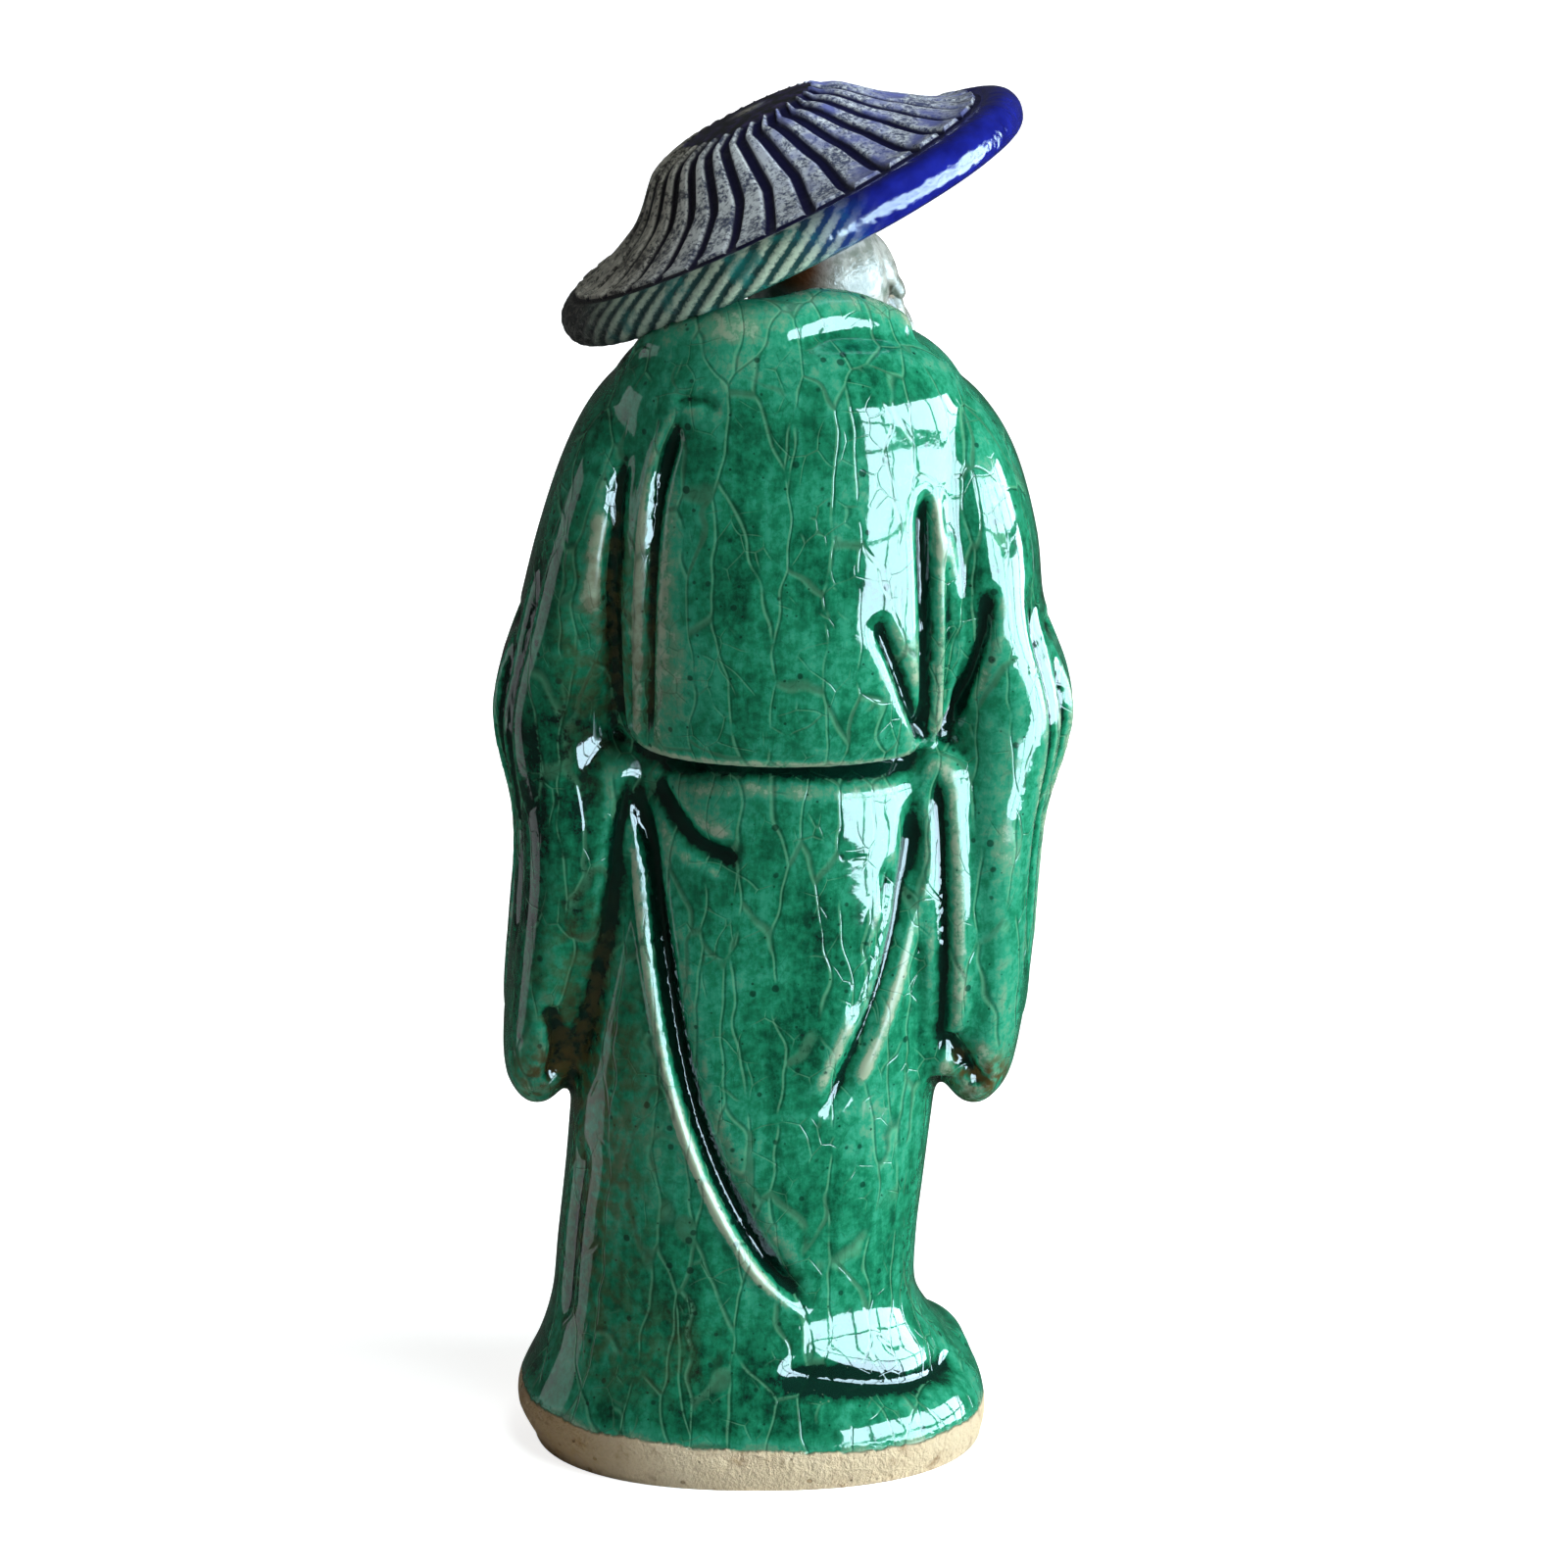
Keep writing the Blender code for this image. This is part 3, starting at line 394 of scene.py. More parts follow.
# Head forms in the head's own frame: side, forward, up, and three radii. Pairs are mirrored
HEAD_CENTRE = (-4.5, -8.2, 76.7)
HAT_ABOVE_HEAD = 5.84
HEAD_FORMS = (
    (0.0, -0.4, 0.6, 4.4, 4.9, 5.3),
    (0.0, -1.3, 0.2, 4.7, 4.5, 5.0),
    (0.0, 1.4, -3.4, 3.2, 3.3, 3.2),
    (0.0, 4.55, -3.75, 1.25, 0.55, 0.34),
    (0.0, 4.50, -4.55, 1.05, 0.58, 0.38),
)
PAIRED_HEAD_FORMS = (
    (2.45, 2.9, -1.4, 1.45, 1.4, 1.25),
    (1.75, 3.80, 0.05, 1.0, 0.72, 0.58),
    (0.72, 4.75, -2.15, 0.52, 0.62, 0.46),
    (4.35, -0.5, -0.6, 0.55, 1.25, 1.9),
    (4.25, -0.2, -2.6, 0.48, 0.75, 0.95),
)
# Rolls of the head, in its frame: nose, brow, moustache, side whisker and beard
NOSE_ROLL = ((0.0, 4.15, 1.1, 0.45), (0.0, 4.75, -0.5, 0.55), (0.0, 5.35, -1.9, 0.78))
BROW_ROLL = ((0.55, 4.35, 1.45, 0.42), (1.9, 4.10, 1.85, 0.46), (3.3, 3.15, 1.35, 0.36))
MOUSTACHE_ROLL = ((0.4, 4.9, -2.95, 0.5), (1.7, 4.4, -3.6, 0.66), (2.5, 3.8, -5.1, 0.58),
                  (2.6, 3.7, -6.9, 0.34))
WHISKER_ROLL = ((3.6, 1.1, -1.9, 0.6), (2.8, 1.9, -3.8, 0.85), (1.9, 2.8, -6.0, 1.0))
BEARD_ROLL = (
    (0.3, 2.9, -5.5, 2.4),
    (1.5, 2.6, -8.0, 2.9),
    (3.2, 2.0, -11.0, 2.9),
    (5.0, 1.6, -14.4, 2.3),
    (6.6, 1.7, -17.8, 1.15),
)
BEARD_FLATNESS = 0.62

# Carved folds on each side of the robe: profile, half width, depth share, and points as
# (across, height). Across is x on the back and front, and y on the two sides
BACK_FOLDS = (
    ("step", 1.0, 1.0, ((4.1, 72.0), (5.3, 69.5), (6.2, 66.0), (6.7, 61.0),
                        (6.9, 55.0), (7.0, 49.2))),
    ("groove", 0.9, 0.7, ((7.9, 69.1), (8.5, 65.9), (8.8, 62.0), (8.9, 58.0),
                          (8.7, 53.0), (8.2, 49.4))),
    ("ridge", 1.2, 0.35, ((9.2, 65.0), (10.0, 61.5), (10.5, 58.0))),
    ("groove", 0.7, 0.35, ((4.9, 72.3), (3.4, 72.6), (2.0, 72.0))),
    ("step", 1.1, -1.3, ((-11.1, 67.0), (-11.3, 62.4), (-11.5, 57.0), (-11.5, 52.0),
                         (-11.4, 48.5))),
    ("ridge", 1.0, 0.4, ((-12.0, 64.4), (-12.7, 61.0), (-13.1, 57.0), (-12.9, 53.3),
                         (-12.2, 50.0))),
    ("groove", 1.1, 0.9, ((-15.0, 60.0), (-14.7, 56.7), (-13.9, 54.0), (-12.8, 51.2),
                          (-11.9, 48.9))),
    ("groove", 1.0, 0.9, ((-7.8, 59.0), (-9.2, 55.4), (-10.1, 52.9), (-11.3, 49.4))),
    ("step", 1.5, -1.5, ((7.6, 48.3), (4.2, 48.6), (1.1, 48.8), (-2.0, 48.7), (-8.3, 48.4),
                         (-11.6, 48.2))),
    ("groove", 1.5, 0.9, ((6.6, 47.0), (5.6, 45.4), (4.4, 43.9), (3.0, 42.9), (0.6, 42.1))),
    ("step", 1.3, 1.5, ((7.3, 46.8), (6.9, 41.0), (6.0, 34.7), (5.1, 29.5), (4.0, 25.0),
                        (2.4, 20.8), (0.5, 17.0), (-1.4, 14.2), (-4.2, 11.4))),
    ("groove", 1.4, 0.7, ((-10.4, 46.0), (-10.1, 41.7), (-8.9, 35.8), (-7.1, 30.4), (-4.4, 24.6))),
    ("ridge", 1.5, 0.36, ((-8.8, 40.0), (-7.9, 35.0), (-6.7, 31.5), (-5.2, 28.4), (-3.9, 25.5))),
    ("ridge", 1.4, 0.34, ((-10.9, 41.0), (-10.2, 37.3), (-9.2, 33.2), (-7.8, 29.4), (-6.2, 26.3))),
    ("groove", 1.9, 0.8, ((-1.4, 7.9), (-4.0, 7.3), (-7.2, 6.6), (-10.4, 6.0), (-13.6, 5.7))),
    ("groove", 1.4, 0.8, ((7.6, 47.5), (8.6, 42.4), (9.2, 37.9), (10.2, 33.1),
                          (11.4, 28.1), (12.2, 25.5))),
    ("groove", 1.2, 0.9, ((-11.8, 48.0), (-12.2, 42.0), (-12.4, 35.0), (-12.2, 26.4))),
    ("groove", 1.6, 0.4, ((11.0, 22.0), (11.8, 16.0), (12.4, 9.0))),
    ("groove", 1.3, 0.9, ((-12.9, 29.4), (-14.0, 26.8), (-15.2, 25.0))),
    ("groove", 1.2, 0.8, ((13.2, 31.4), (12.7, 28.0), (13.3, 25.2))),
)
FRONT_FOLDS = (
    ("step", 1.0, 0.8, ((3.2, 73.0), (0.2, 67.0), (-4.4, 60.0), (-9.4, 54.0))),
    ("groove", 0.7, 0.5, ((1.4, 74.0), (-1.6, 67.6), (-5.8, 61.4), (-10.6, 56.0))),
    ("step", 1.0, -0.7, ((-9.6, 71.0), (-8.0, 68.2), (-6.0, 65.6))),
    ("groove", 0.9, 0.9, ((-2.0, 53.4), (-2.0, 49.0), (-2.0, 45.0))),
    ("groove", 1.2, 0.7, ((9.0, 60.0), (8.4, 56.0), (6.0, 53.4))),
    ("groove", 1.2, 0.7, ((-13.0, 60.0), (-12.4, 56.0), (-10.0, 53.4))),
    ("step", 1.3, 0.7, ((3.8, 44.0), (6.2, 38.6), (9.2, 33.0), (11.8, 28.6))),
    ("step", 1.3, -0.7, ((-7.8, 44.0), (-10.2, 38.6), (-13.2, 33.0), (-15.4, 28.6))),
    ("groove", 1.1, 0.6, ((6.4, 46.0), (9.2, 41.0), (12.4, 35.6))),
    ("groove", 1.1, 0.6, ((-10.4, 46.0), (-13.2, 41.0), (-16.0, 35.6))),
    ("step", 1.2, 0.9, ((-0.2, 44.0), (0.2, 34.0), (1.4, 22.0), (2.4, 11.0), (2.2, 4.0))),
    ("step", 1.2, -0.9, ((-4.0, 44.0), (-4.2, 34.0), (-3.6, 22.0), (-3.2, 11.0), (-3.4, 4.0))),
    ("groove", 1.6, 0.6, ((5.0, 32.0), (6.2, 22.0), (7.4, 13.0), (8.6, 6.0))),
    ("groove", 1.6, 0.6, ((-7.6, 32.0), (-7.4, 22.0), (-7.8, 13.0), (-8.6, 6.0))),
    ("groove", 1.3, 0.5, ((-0.8, 20.0), (-0.6, 12.0), (-0.6, 5.0))),
)
LEFT_FOLDS = (
    ("step", 1.3, 0.8, ((2.0, 56.0), (0.6, 47.0), (-1.6, 38.0), (-2.8, 29.0))),
    ("groove", 1.3, 0.7, ((-2.6, 53.0), (-4.0, 46.0), (-6.0, 38.0))),
    ("groove", 1.2, 0.6, ((4.2, 62.0), (3.4, 52.0), (2.4, 42.0), (1.6, 33.0))),
    ("groove", 1.2, 0.7, ((-4.6, 57.6), (-1.6, 55.8), (1.8, 56.8))),
)
RIGHT_FOLDS = (
    ("step", 1.3, -0.8, ((2.2, 55.0), (1.0, 46.0), (-1.0, 37.0), (-2.4, 28.0))),
    ("groove", 1.3, 0.7, ((-2.4, 52.0), (-4.2, 45.0), (-6.2, 37.0))),
    ("groove", 1.2, 0.6, ((4.4, 60.0), (3.8, 51.0), (3.0, 42.0), (2.2, 31.0))),
    ("groove", 1.2, 0.7, ((-4.4, 57.0), (-1.4, 55.2), (2.0, 56.2))),
)
# The lids and cheek folds, in the head's frame. Each is mirrored on the face's other side
PAIRED_FACE_FOLDS = (
    ("groove", 0.34, 0.8, ((0.7, 0.45), (1.75, 0.85), (2.8, 0.35))),
    ("groove", 0.26, 0.7, ((0.8, -0.02), (1.75, 0.02), (2.7, -0.1))),
    ("groove", 0.34, 0.7, ((0.8, -0.5), (1.75, -0.72), (2.7, -0.45))),
    ("groove", 0.45, 0.6, ((1.2, -2.0), (1.9, -2.7), (2.4, -3.6))),
)
MOUTH_LINE = ("groove", 0.28, 0.6, ((-0.9, -4.2), (0.0, -4.14), (0.9, -4.2)))
# The beard's locks: how many, how far out they reach in the beard's radius, and their folds
BEARD_LOCKS = 5
BEARD_LOCK_SPAN = 0.8
BEARD_LOCK_HALF_WIDTH = 0.5
BEARD_LOCK_STRENGTH = 0.7
# In the head's frame: the chin's height over which the bare face ends, how far forward the hair
# comes, and over how much both fade
BEARD_TOP = -3.0
BEARD_FADE = 0.5
HAIR_LINE = 0.6
HAIR_FADE = 0.6


def srgb(*display):
    """A linear colour from display values of 0 to 255."""
    shares = [value / 255 for value in display]
    return tuple(share / 12.92 if share <= 0.04045 else ((share + 0.055) / 1.055) ** 2.4
                 for share in shares)


def length(name, description, default):
    return FloatProperty(name=name, description=description, default=default, unit="LENGTH",
                         precision=5, min=0.0)


def colour(name, description, *display):
    """A colour setting from display values of 0 to 255."""
    return FloatVectorProperty(name=name, description=description, default=srgb(*display),
                               subtype="COLOR", min=0.0, max=1.0)


class FigureSizes(PropertyGroup):
    """Sizes of the body."""
    height: length("Height", "Height of the whole figure", CAD_HIGH[2] - CAD_LOW[2])
    foot_width: length("Foot Width", "Width of the flat foot", 0.0300)
    foot_depth: length("Foot Depth", "Depth of the flat foot", 0.0243)
    foot_rim: length("Foot Rim", "Height of the bare rim under the hem", 0.0018)
    hem_swell: length("Hem Swell", "How far the hem stands out over the foot", 0.0005)
    fold_depth: length("Fold Depth", "Depth of a fold of full strength", 0.00105)
    face_depth: length("Face Depth", "Depth of the carving of face and beard", 0.0005)
    robe_grain: length("Robe Grain", "Size of the robe's finest clay detail", 0.00032)
    head_grain: length("Head Grain", "Size of the head's finest clay detail", 0.00013)
    robe_triangles: IntProperty(name="Robe Triangles", description="Triangles that the robe keeps",
                                default=185000, min=1000)


class HatSizes(PropertyGroup):
    """Sizes of the hat."""
    radius: length("Radius", "Radius over the rim", 0.0166)
    crown_radius: length("Crown Radius", "Radius of the crown's edge", 0.0063)
    crown_rise: length("Crown Rise", "Height of the crown over the rim", 0.0060)
    groove_width: length("Groove Width", "Width of the cut between two panels", 0.00040)
    groove_wall: length("Groove Wall", "Width of a groove's sloping side", 0.00030)
    rim_height: length("Rim Height", "Height of the rolled rim", 0.0034)
    panel_raise: length("Panel Raise", "Depth of the grooves between the panels", 0.00042)
    strand_raise: length("Strand Raise", "Depth of the rim's slanting strands", 0.00034)
    panels: IntProperty(name="Panels", description="Raised panels round the hat", default=32, min=8)
    strands: IntProperty(name="Strands", description="Slanting strands round the rim", default=56,
                         min=8)


class GlazeColours(PropertyGroup):
    """Colours of the green glaze from thick to thin, and of the clay."""
    green_deep: colour("Deep Green", "Glaze pooled in a hollow", 5, 40, 31)
    green_thick: colour("Thick Green", "Thick glaze", 10, 86, 60)
    green_full: colour("Full Green", "Glaze of full thickness", 26, 124, 90)
    green_middle: colour("Middle Green", "Glaze of middle thickness", 50, 152, 120)
    green_thin: colour("Thin Green", "Thin glaze near a ridge", 104, 156, 126)
    green_bare: colour("Bare Green", "Glaze almost gone from a ridge", 158, 174, 148)
    clay: colour("Clay", "Bare buff clay", 240, 214, 178)
    clay_dark: colour("Stained Clay", "Stains of the bare clay", 176, 132, 84)
    # Darker colour of the foot's clay towards the figure's left
    clay_darker_side: colour("Toasted Clay", "Bare clay that fired darker", 186, 142, 88)
    # A painted highlight beside each crazing line
    crack_painted_highlight: colour("Pale Crack", "Lit edge of a crazing line", 120, 190, 150)
    crack_dark: colour("Dark Crack", "Dark edge of a crazing line", 6, 50, 34)
    # Also laid broadly over the figure's left side as painted shade
    stain_and_shade: colour("Stain", "Brown stains of the glaze", 86, 70, 36)


class HatColours(PropertyGroup):
    """Colours of the hat, from its brown-grey lowered side to its cobalt raised side."""
    warm_dark: colour("Warm Dark", "Flecks of the lowered panels", 60, 56, 52)
    warm_worn: colour("Warm Worn", "Worn spots of the lowered panels", 196, 190, 178)
    cool_dark: colour("Cool Dark", "Flecks of the other panels", 82, 88, 116)
    cool_worn: colour("Cool Worn", "Worn spots of the other panels", 242, 247, 252)
    violet: colour("Violet", "Tint of the raised panels", 84, 92, 172)
    crown_grey: colour("Crown Grey", "Dark grey of the crown", 40, 43, 44)
    crown_violet: colour("Crown Violet", "Streaks of the crown", 66, 58, 98)
    crown_worn: colour("Crown Worn", "Worn streaks of the crown", 140, 140, 148)
    groove_dark: colour("Dark Groove", "Lowered grooves", 26, 23, 30)
    groove_navy: colour("Navy Groove", "Raised grooves", 24, 24, 66)
    rim_dark: colour("Rim Dark", "The rim's lowered end", 34, 34, 35)
    rim_worn: colour("Rim Worn", "Scratches of the rim's lowered end", 128, 126, 120)
    strand_dark: colour("Strand Dark", "Hollows between the rim's strands", 36, 70, 70)
    strand_lit: colour("Strand Lit", "Tops of the rim's strands", 182, 200, 180)
    teal: colour("Teal", "Pools of glaze on the strands", 28, 120, 116)
    cobalt_dark: colour("Cobalt Dark", "Thick glaze of the rim's raised end", 9, 11, 84)
    cobalt: colour("Cobalt", "Thinner glaze of the rim's raised end", 30, 40, 158)


class HeadColours(PropertyGroup):
    """Colours of the face, the hair and the beard."""
    face: colour("Face", "Bare clay of the face", 206, 176, 140)
    face_darker_patch: colour("Face Shade", "Darker patches of the face", 176, 138, 100)
    face_line: colour("Face Line", "Hollows of the face", 104, 68, 42)
    white: colour("White", "White glaze of hair and beard", 186, 186, 180)
    grey: colour("Grey", "Thinner patches of the white glaze", 132, 136, 128)
    green: colour("Green", "Green that ran into the white glaze", 84, 104, 86)
    hair_line: colour("Hair Line", "Hollows of hair and beard", 66, 64, 54)
    # Partly painted shade of the gap under the hat's brim
    nape: colour("Nape", "Brown hair at the nape", 92, 52, 28)


class StageSettings(PropertyGroup):
    """The camera and the floor."""
    camera_distance: length("Camera Distance", "From the camera to its target", 0.455)
    camera_elevation: FloatProperty(name="Camera Elevation", description="How far above the figure",
                                    default=math.radians(17.0), subtype="ANGLE")
    lens: FloatProperty(name="Lens", description="Focal length in millimetres", default=159.0)
    floor_radius: length("Floor Radius", "Radius of the pale floor", 3.0)


class MudmanSettings(PropertyGroup):
    """All settings of the figurine."""
    figure: PointerProperty(type=FigureSizes)
    hat: PointerProperty(type=HatSizes)
    glaze: PointerProperty(type=GlazeColours)
    hat_colours: PointerProperty(type=HatColours)
    head_colours: PointerProperty(type=HeadColours)
    stage: PointerProperty(type=StageSettings)


def settings():
    return bpy.context.scene.mudman


def share_size():
    """The length of one share of the height."""
    return settings().figure.height / SHARES_TALL


def smooth_rows(rows, steps=CURVE_STEPS):
    """Rows on a smooth curve that passes through every given row."""
    rows = np.array(rows, dtype=float)
    padded = np.vstack((2 * rows[0] - rows[1], rows, 2 * rows[-1] - rows[-2]))
    curve = []
    for start in range(len(rows) - 1):
        before, here, there, after = padded[start:start + 4]
        for step in range(steps):
            t = step / steps
            curve.append(0.5 * (2 * here + (there - before) * t
                                + (2 * before - 5 * here + 4 * there - after) * t ** 2
                                + (3 * here - before - 3 * there + after) * t ** 3))
    curve.append(rows[-1])
    return np.array(curve)


def lean(height):
    """The figure's middle x at a height."""
    heights, middles = zip(*LEAN)
    return float(np.interp(height, heights, middles))


def ring_points(height, x, y, half_width, half_depth):
    """One level ring of the robe, a soft-cornered ellipse."""
    for side in range(RING_SIDES):
        angle = 2 * math.pi * side / RING_SIDES
        across, along = math.cos(angle), math.sin(angle)
        fullness = (abs(across) ** RING_POWER + abs(along) ** RING_POWER) ** (-1 / RING_POWER)
        yield Vector((x + half_width * fullness * across,
                      y + half_depth * fullness * along,
                      height)) * share_size()


def loft(bm, rings):
    """A closed form through level rings, drawn up from a filled circle."""
    cap = bmesh.ops.create_circle(bm, cap_ends=True, segments=RING_SIDES, radius=share_size())
    top = cap["verts"][0].link_faces[0]
    floor_loop = list(top.verts)
    for level, ring in enumerate(rings):
        if level:
            top = bmesh.ops.extrude_discrete_faces(bm, faces=[top])["faces"][0]
        for vert, place in zip(top.verts, ring_points(*ring)):
            vert.co = place
    bm.faces.new(reversed(floor_loop))


def beads(bm, points, mirrored=False):
    """A roll of clay along a smooth curve, as overlapping round beads."""
    share = share_size()
    for x, y, height, radius in smooth_rows(points, BEAD_STEPS):
        place = Vector((x, y, height)) * share
        if mirrored:
            place.x = 2 * lean(height) * share - place.x
        shape = Matrix.Diagonal((*[radius * share] * 3, 1.0))
        bmesh.ops.create_icosphere(bm, subdivisions=3, radius=1.0,
                                   matrix=Matrix.Translation(place) @ shape)


def head_frame():
    """The head's own frame: side, forward and up, in shares, with its tilt and turn."""
    up = Vector((math.sin(HAT_TILT), -math.sin(HAT_NOD), math.cos(HAT_TILT))).normalized()
    forward = Vector((-math.sin(HEAD_TURN), -math.cos(HEAD_TURN), 0.0))
    forward = (forward - up * forward.dot(up)).normalized()
    side = up.cross(forward)
    share = share_size()
    turn = Matrix((side, forward, up)).transposed().to_4x4()
    return Matrix.Translation(Vector(HEAD_CENTRE) * share) @ turn @ Matrix.Scale(share, 4)


def add_form(bm, place, side, forward, up, *radii):
    shape = Matrix.Diagonal((*radii, 1.0))
    bmesh.ops.create_icosphere(bm, subdivisions=4, radius=1.0,
                               matrix=place @ Matrix.Translation((side, forward, up)) @ shape)


def roll_in_frame(bm, place, points, side=1.0, flatten=(1.0, 1.0, 1.0)):
    for x, y, height, radius in smooth_rows(points, ROLL_STEPS):
        radii = [radius * share for share in flatten]
        add_form(bm, place, side * x, y, height, *radii)


def apply_modifiers(piece):
    """Keep the object's evaluated mesh as its own."""
    graph = bpy.context.evaluated_depsgraph_get()
    finished = bpy.data.meshes.new_from_object(piece.evaluated_get(graph))
    piece.modifiers.clear()
    piece.data = finished


def new_object(name, data):
    thing = bpy.data.objects.new(name, data)
    bpy.context.scene.collection.objects.link(thing)
    return thing


def new_piece(name, bm):
    """An object at the origin with the bmesh as its mesh."""
    mesh = bpy.data.meshes.new(name)
    bm.to_mesh(mesh)
    bm.free()
    return new_object(name, mesh)


def add_smoothing(piece, rounds):
    smooth = piece.modifiers.new("smooth", "SMOOTH")
    smooth.factor = 0.5
    smooth.iterations = rounds


def fuse(name, bm, grain, rounds):
    """Press the overlapping forms in bm into one closed, softened body."""
    bmesh.ops.recalc_face_normals(bm, faces=bm.faces)
    piece = new_piece(name, bm)
    clay = piece.modifiers.new("clay", "REMESH")
    clay.mode = "VOXEL"
    clay.voxel_size = grain
    clay.adaptivity = 0.0
    add_smoothing(piece, rounds)
    apply_modifiers(piece)
    return piece


def mesh_arrays(mesh):
    """The places and the normals of a mesh's vertices, as arrays."""
    places = np.empty(len(mesh.vertices) * 3, dtype=np.float32)
    mesh.vertices.foreach_get("co", places)
    normals = np.empty(len(mesh.vertices) * 3, dtype=np.float32)
    mesh.vertices.foreach_get("normal", normals)
    return places.reshape(-1, 3).astype(float), normals.reshape(-1, 3).astype(float)


def move_vertices(mesh, places):
    mesh.vertices.foreach_set("co", places.astype(np.float32).ravel())
    mesh.update()


def side_frame(across, outward):
    """A frame whose columns are across, outward and up, in shares."""
    turn = Matrix((Vector(across), Vector(outward), Vector((0.0, 0.0, 1.0)))).transposed()
    return turn.to_4x4() @ Matrix.Scale(share_size(), 4)


def robe_sides():
    """The four sides that the robe is carved from, each with its folds."""
    return (
        (side_frame((1, 0, 0), (0, 1, 0)), BACK_FOLDS + FINE_BACK_FOLDS),
        (side_frame((1, 0, 0), (0, -1, 0)), FRONT_FOLDS),
        (side_frame((0, 1, 0), (1, 0, 0)), LEFT_FOLDS),
        (side_frame((0, 1, 0), (-1, 0, 0)), RIGHT_FOLDS),
    )


def fold_path(surface, side, points):
    """The fold's line laid on the surface, seen straight from its side."""
    inward = -(side.to_3x3() @ Vector((0.0, 1.0, 0.0))).normalized()
    path = []
    for across, height in smooth_rows(points):
        start = side @ Vector((across, OUTSIDE, height))
        hit = surface.ray_cast(start, inward)[0]
        if hit:
            path.append(hit)
    return np.array([list(place) for place in path])


def near_path(places, path, outward):
    """Signed distance to the path, and how far along it each place lies, from 0 to 1."""
    best = np.full(len(places), np.inf)
    signed = np.zeros(len(places))
    along = np.zeros(len(places))
    steps = np.diff(path, axis=0)
    lengths = np.linalg.norm(steps, axis=1)
    travelled = np.concatenate(([0.0], np.cumsum(lengths)))
    for start, step, span, done in zip(path, steps, lengths, travelled):
        offset = places - start
        share = np.clip(offset @ step / max(span ** 2, 1e-18), 0.0, 1.0)
        apart = offset - share[:, None] * step
        distance = np.linalg.norm(apart, axis=1)
        closer = distance < best
        lateral = np.cross(step, outward)
        best[closer] = distance[closer]
        signed[closer] = (np.sign(apart @ lateral) * distance)[closer]
        along[closer] = ((done + share * span) / travelled[-1])[closer]
    return signed, along


def fold_profile(kind, t):
    """Height of the carving at t half widths from its line, from -1 to 1."""
    if kind == "groove":
        return -np.clip(1 - np.abs(t), 0, 1) ** GROOVE_POWER
    if kind == "ridge":
        return 0.5 + 0.5 * np.cos(math.pi * np.clip(t, -1, 1))
    steep = np.clip(1 - t / CLIFF_WIDTHS[0], 0, 1) ** CLIFF_POWERS[0]
    gentle = np.clip(1 + t / CLIFF_WIDTHS[1], 0, 1) ** CLIFF_POWERS[1]
    cliff = np.where(t > 0, steep, gentle)
    bank = 0.5 + 0.5 * np.cos(math.pi * np.clip((t - BANK_MIDDLE) / BANK_HALF_WIDTH, -1, 1))
    return BANK_HEIGHT * bank - cliff


def carve_fold(surface, places, normals, side, fold, depth):
    """Moves of the places for one fold. A step's raised bank takes the side of strength's sign."""
    kind, half_width, strength, points = fold
    half_width *= share_size()
    outward = np.array((side.to_3x3() @ Vector((0.0, 1.0, 0.0))).normalized())
    path = fold_path(surface, side, points)
    reach = half_width * FOLD_REACH
    near = np.all((places > path.min(axis=0) - reach) & (places < path.max(axis=0) + reach), axis=1)
    near &= normals @ outward > FACES_OUT
    moves = np.zeros(len(places))
    signed, along = near_path(places[near], path, outward)
    t = signed / half_width * (math.copysign(1.0, strength) if kind == "step" else 1.0)
    ends = np.clip(along / FOLD_FADE, 0, 1) * np.clip((1 - along) / FOLD_FADE, 0, 1)
    ends = ends * ends * (3 - 2 * ends)
    moves[near] = fold_profile(kind, t) * ends * abs(strength) * depth
    return moves


def carve(piece, sides, depth):
    """Carve every fold into the piece along its own normals."""
    mesh = piece.data
    surface = BVHTree.FromObject(piece, bpy.context.evaluated_depsgraph_get())
    places, normals = mesh_arrays(mesh)
    moves = np.zeros(len(places))
    for side, folds in sides:
        for fold in folds:
            moves += carve_fold(surface, places, normals, side, fold, depth)
    move_vertices(mesh, places + normals * moves[:, None])
    keep_attribute(mesh, "carved", moves / MILLIMETRE)
    add_smoothing(piece, CARVING_SOFTENING)
    apply_modifiers(piece)


def thin_out(piece, triangles):
    """Collapse the piece to the number of triangles that it keeps."""
    bm = bmesh.new()
    bm.from_mesh(piece.data)
    bmesh.ops.triangulate(bm, faces=bm.faces)
    bm.to_mesh(piece.data)
    bm.free()
    collapse = piece.modifiers.new("collapse", "DECIMATE")
    collapse.ratio = min(1.0, triangles / len(piece.data.polygons))
    apply_modifiers(piece)


def edge_ends(mesh):
    ends = np.empty(len(mesh.edges) * 2, dtype=np.int32)
    mesh.edges.foreach_get("vertices", ends)
    return ends.reshape(-1, 2)


def spread(values, ends, rounds):
    """Values blurred over the surface, each round taking half from a vertex's neighbours."""
    count = len(values)
    first, second = ends[:, 0], ends[:, 1]
    degree = np.bincount(first, minlength=count) + np.bincount(second, minlength=count)
    for blur in range(rounds):
        total = np.bincount(first, weights=values[second], minlength=count)
        total += np.bincount(second, weights=values[first], minlength=count)
        values = 0.5 * values + 0.5 * total / np.maximum(degree, 1)
    return values


def relief(mesh, rounds):
    """How far each vertex stands out of the surface blurred round it, in millimetres."""
    places, normals = mesh_arrays(mesh)
    ends = edge_ends(mesh)
    blurred = np.stack([spread(places[:, axis], ends, rounds) for axis in range(3)], axis=1)
    return np.einsum("ij,ij->i", places - blurred, normals) / MILLIMETRE


def keep_attribute(mesh, name, values):
    """Store one number for each vertex, for the glaze to read."""
    attribute = mesh.attributes.new(name, "FLOAT", "POINT")
    attribute.data.foreach_set("value", values.astype(np.float32))


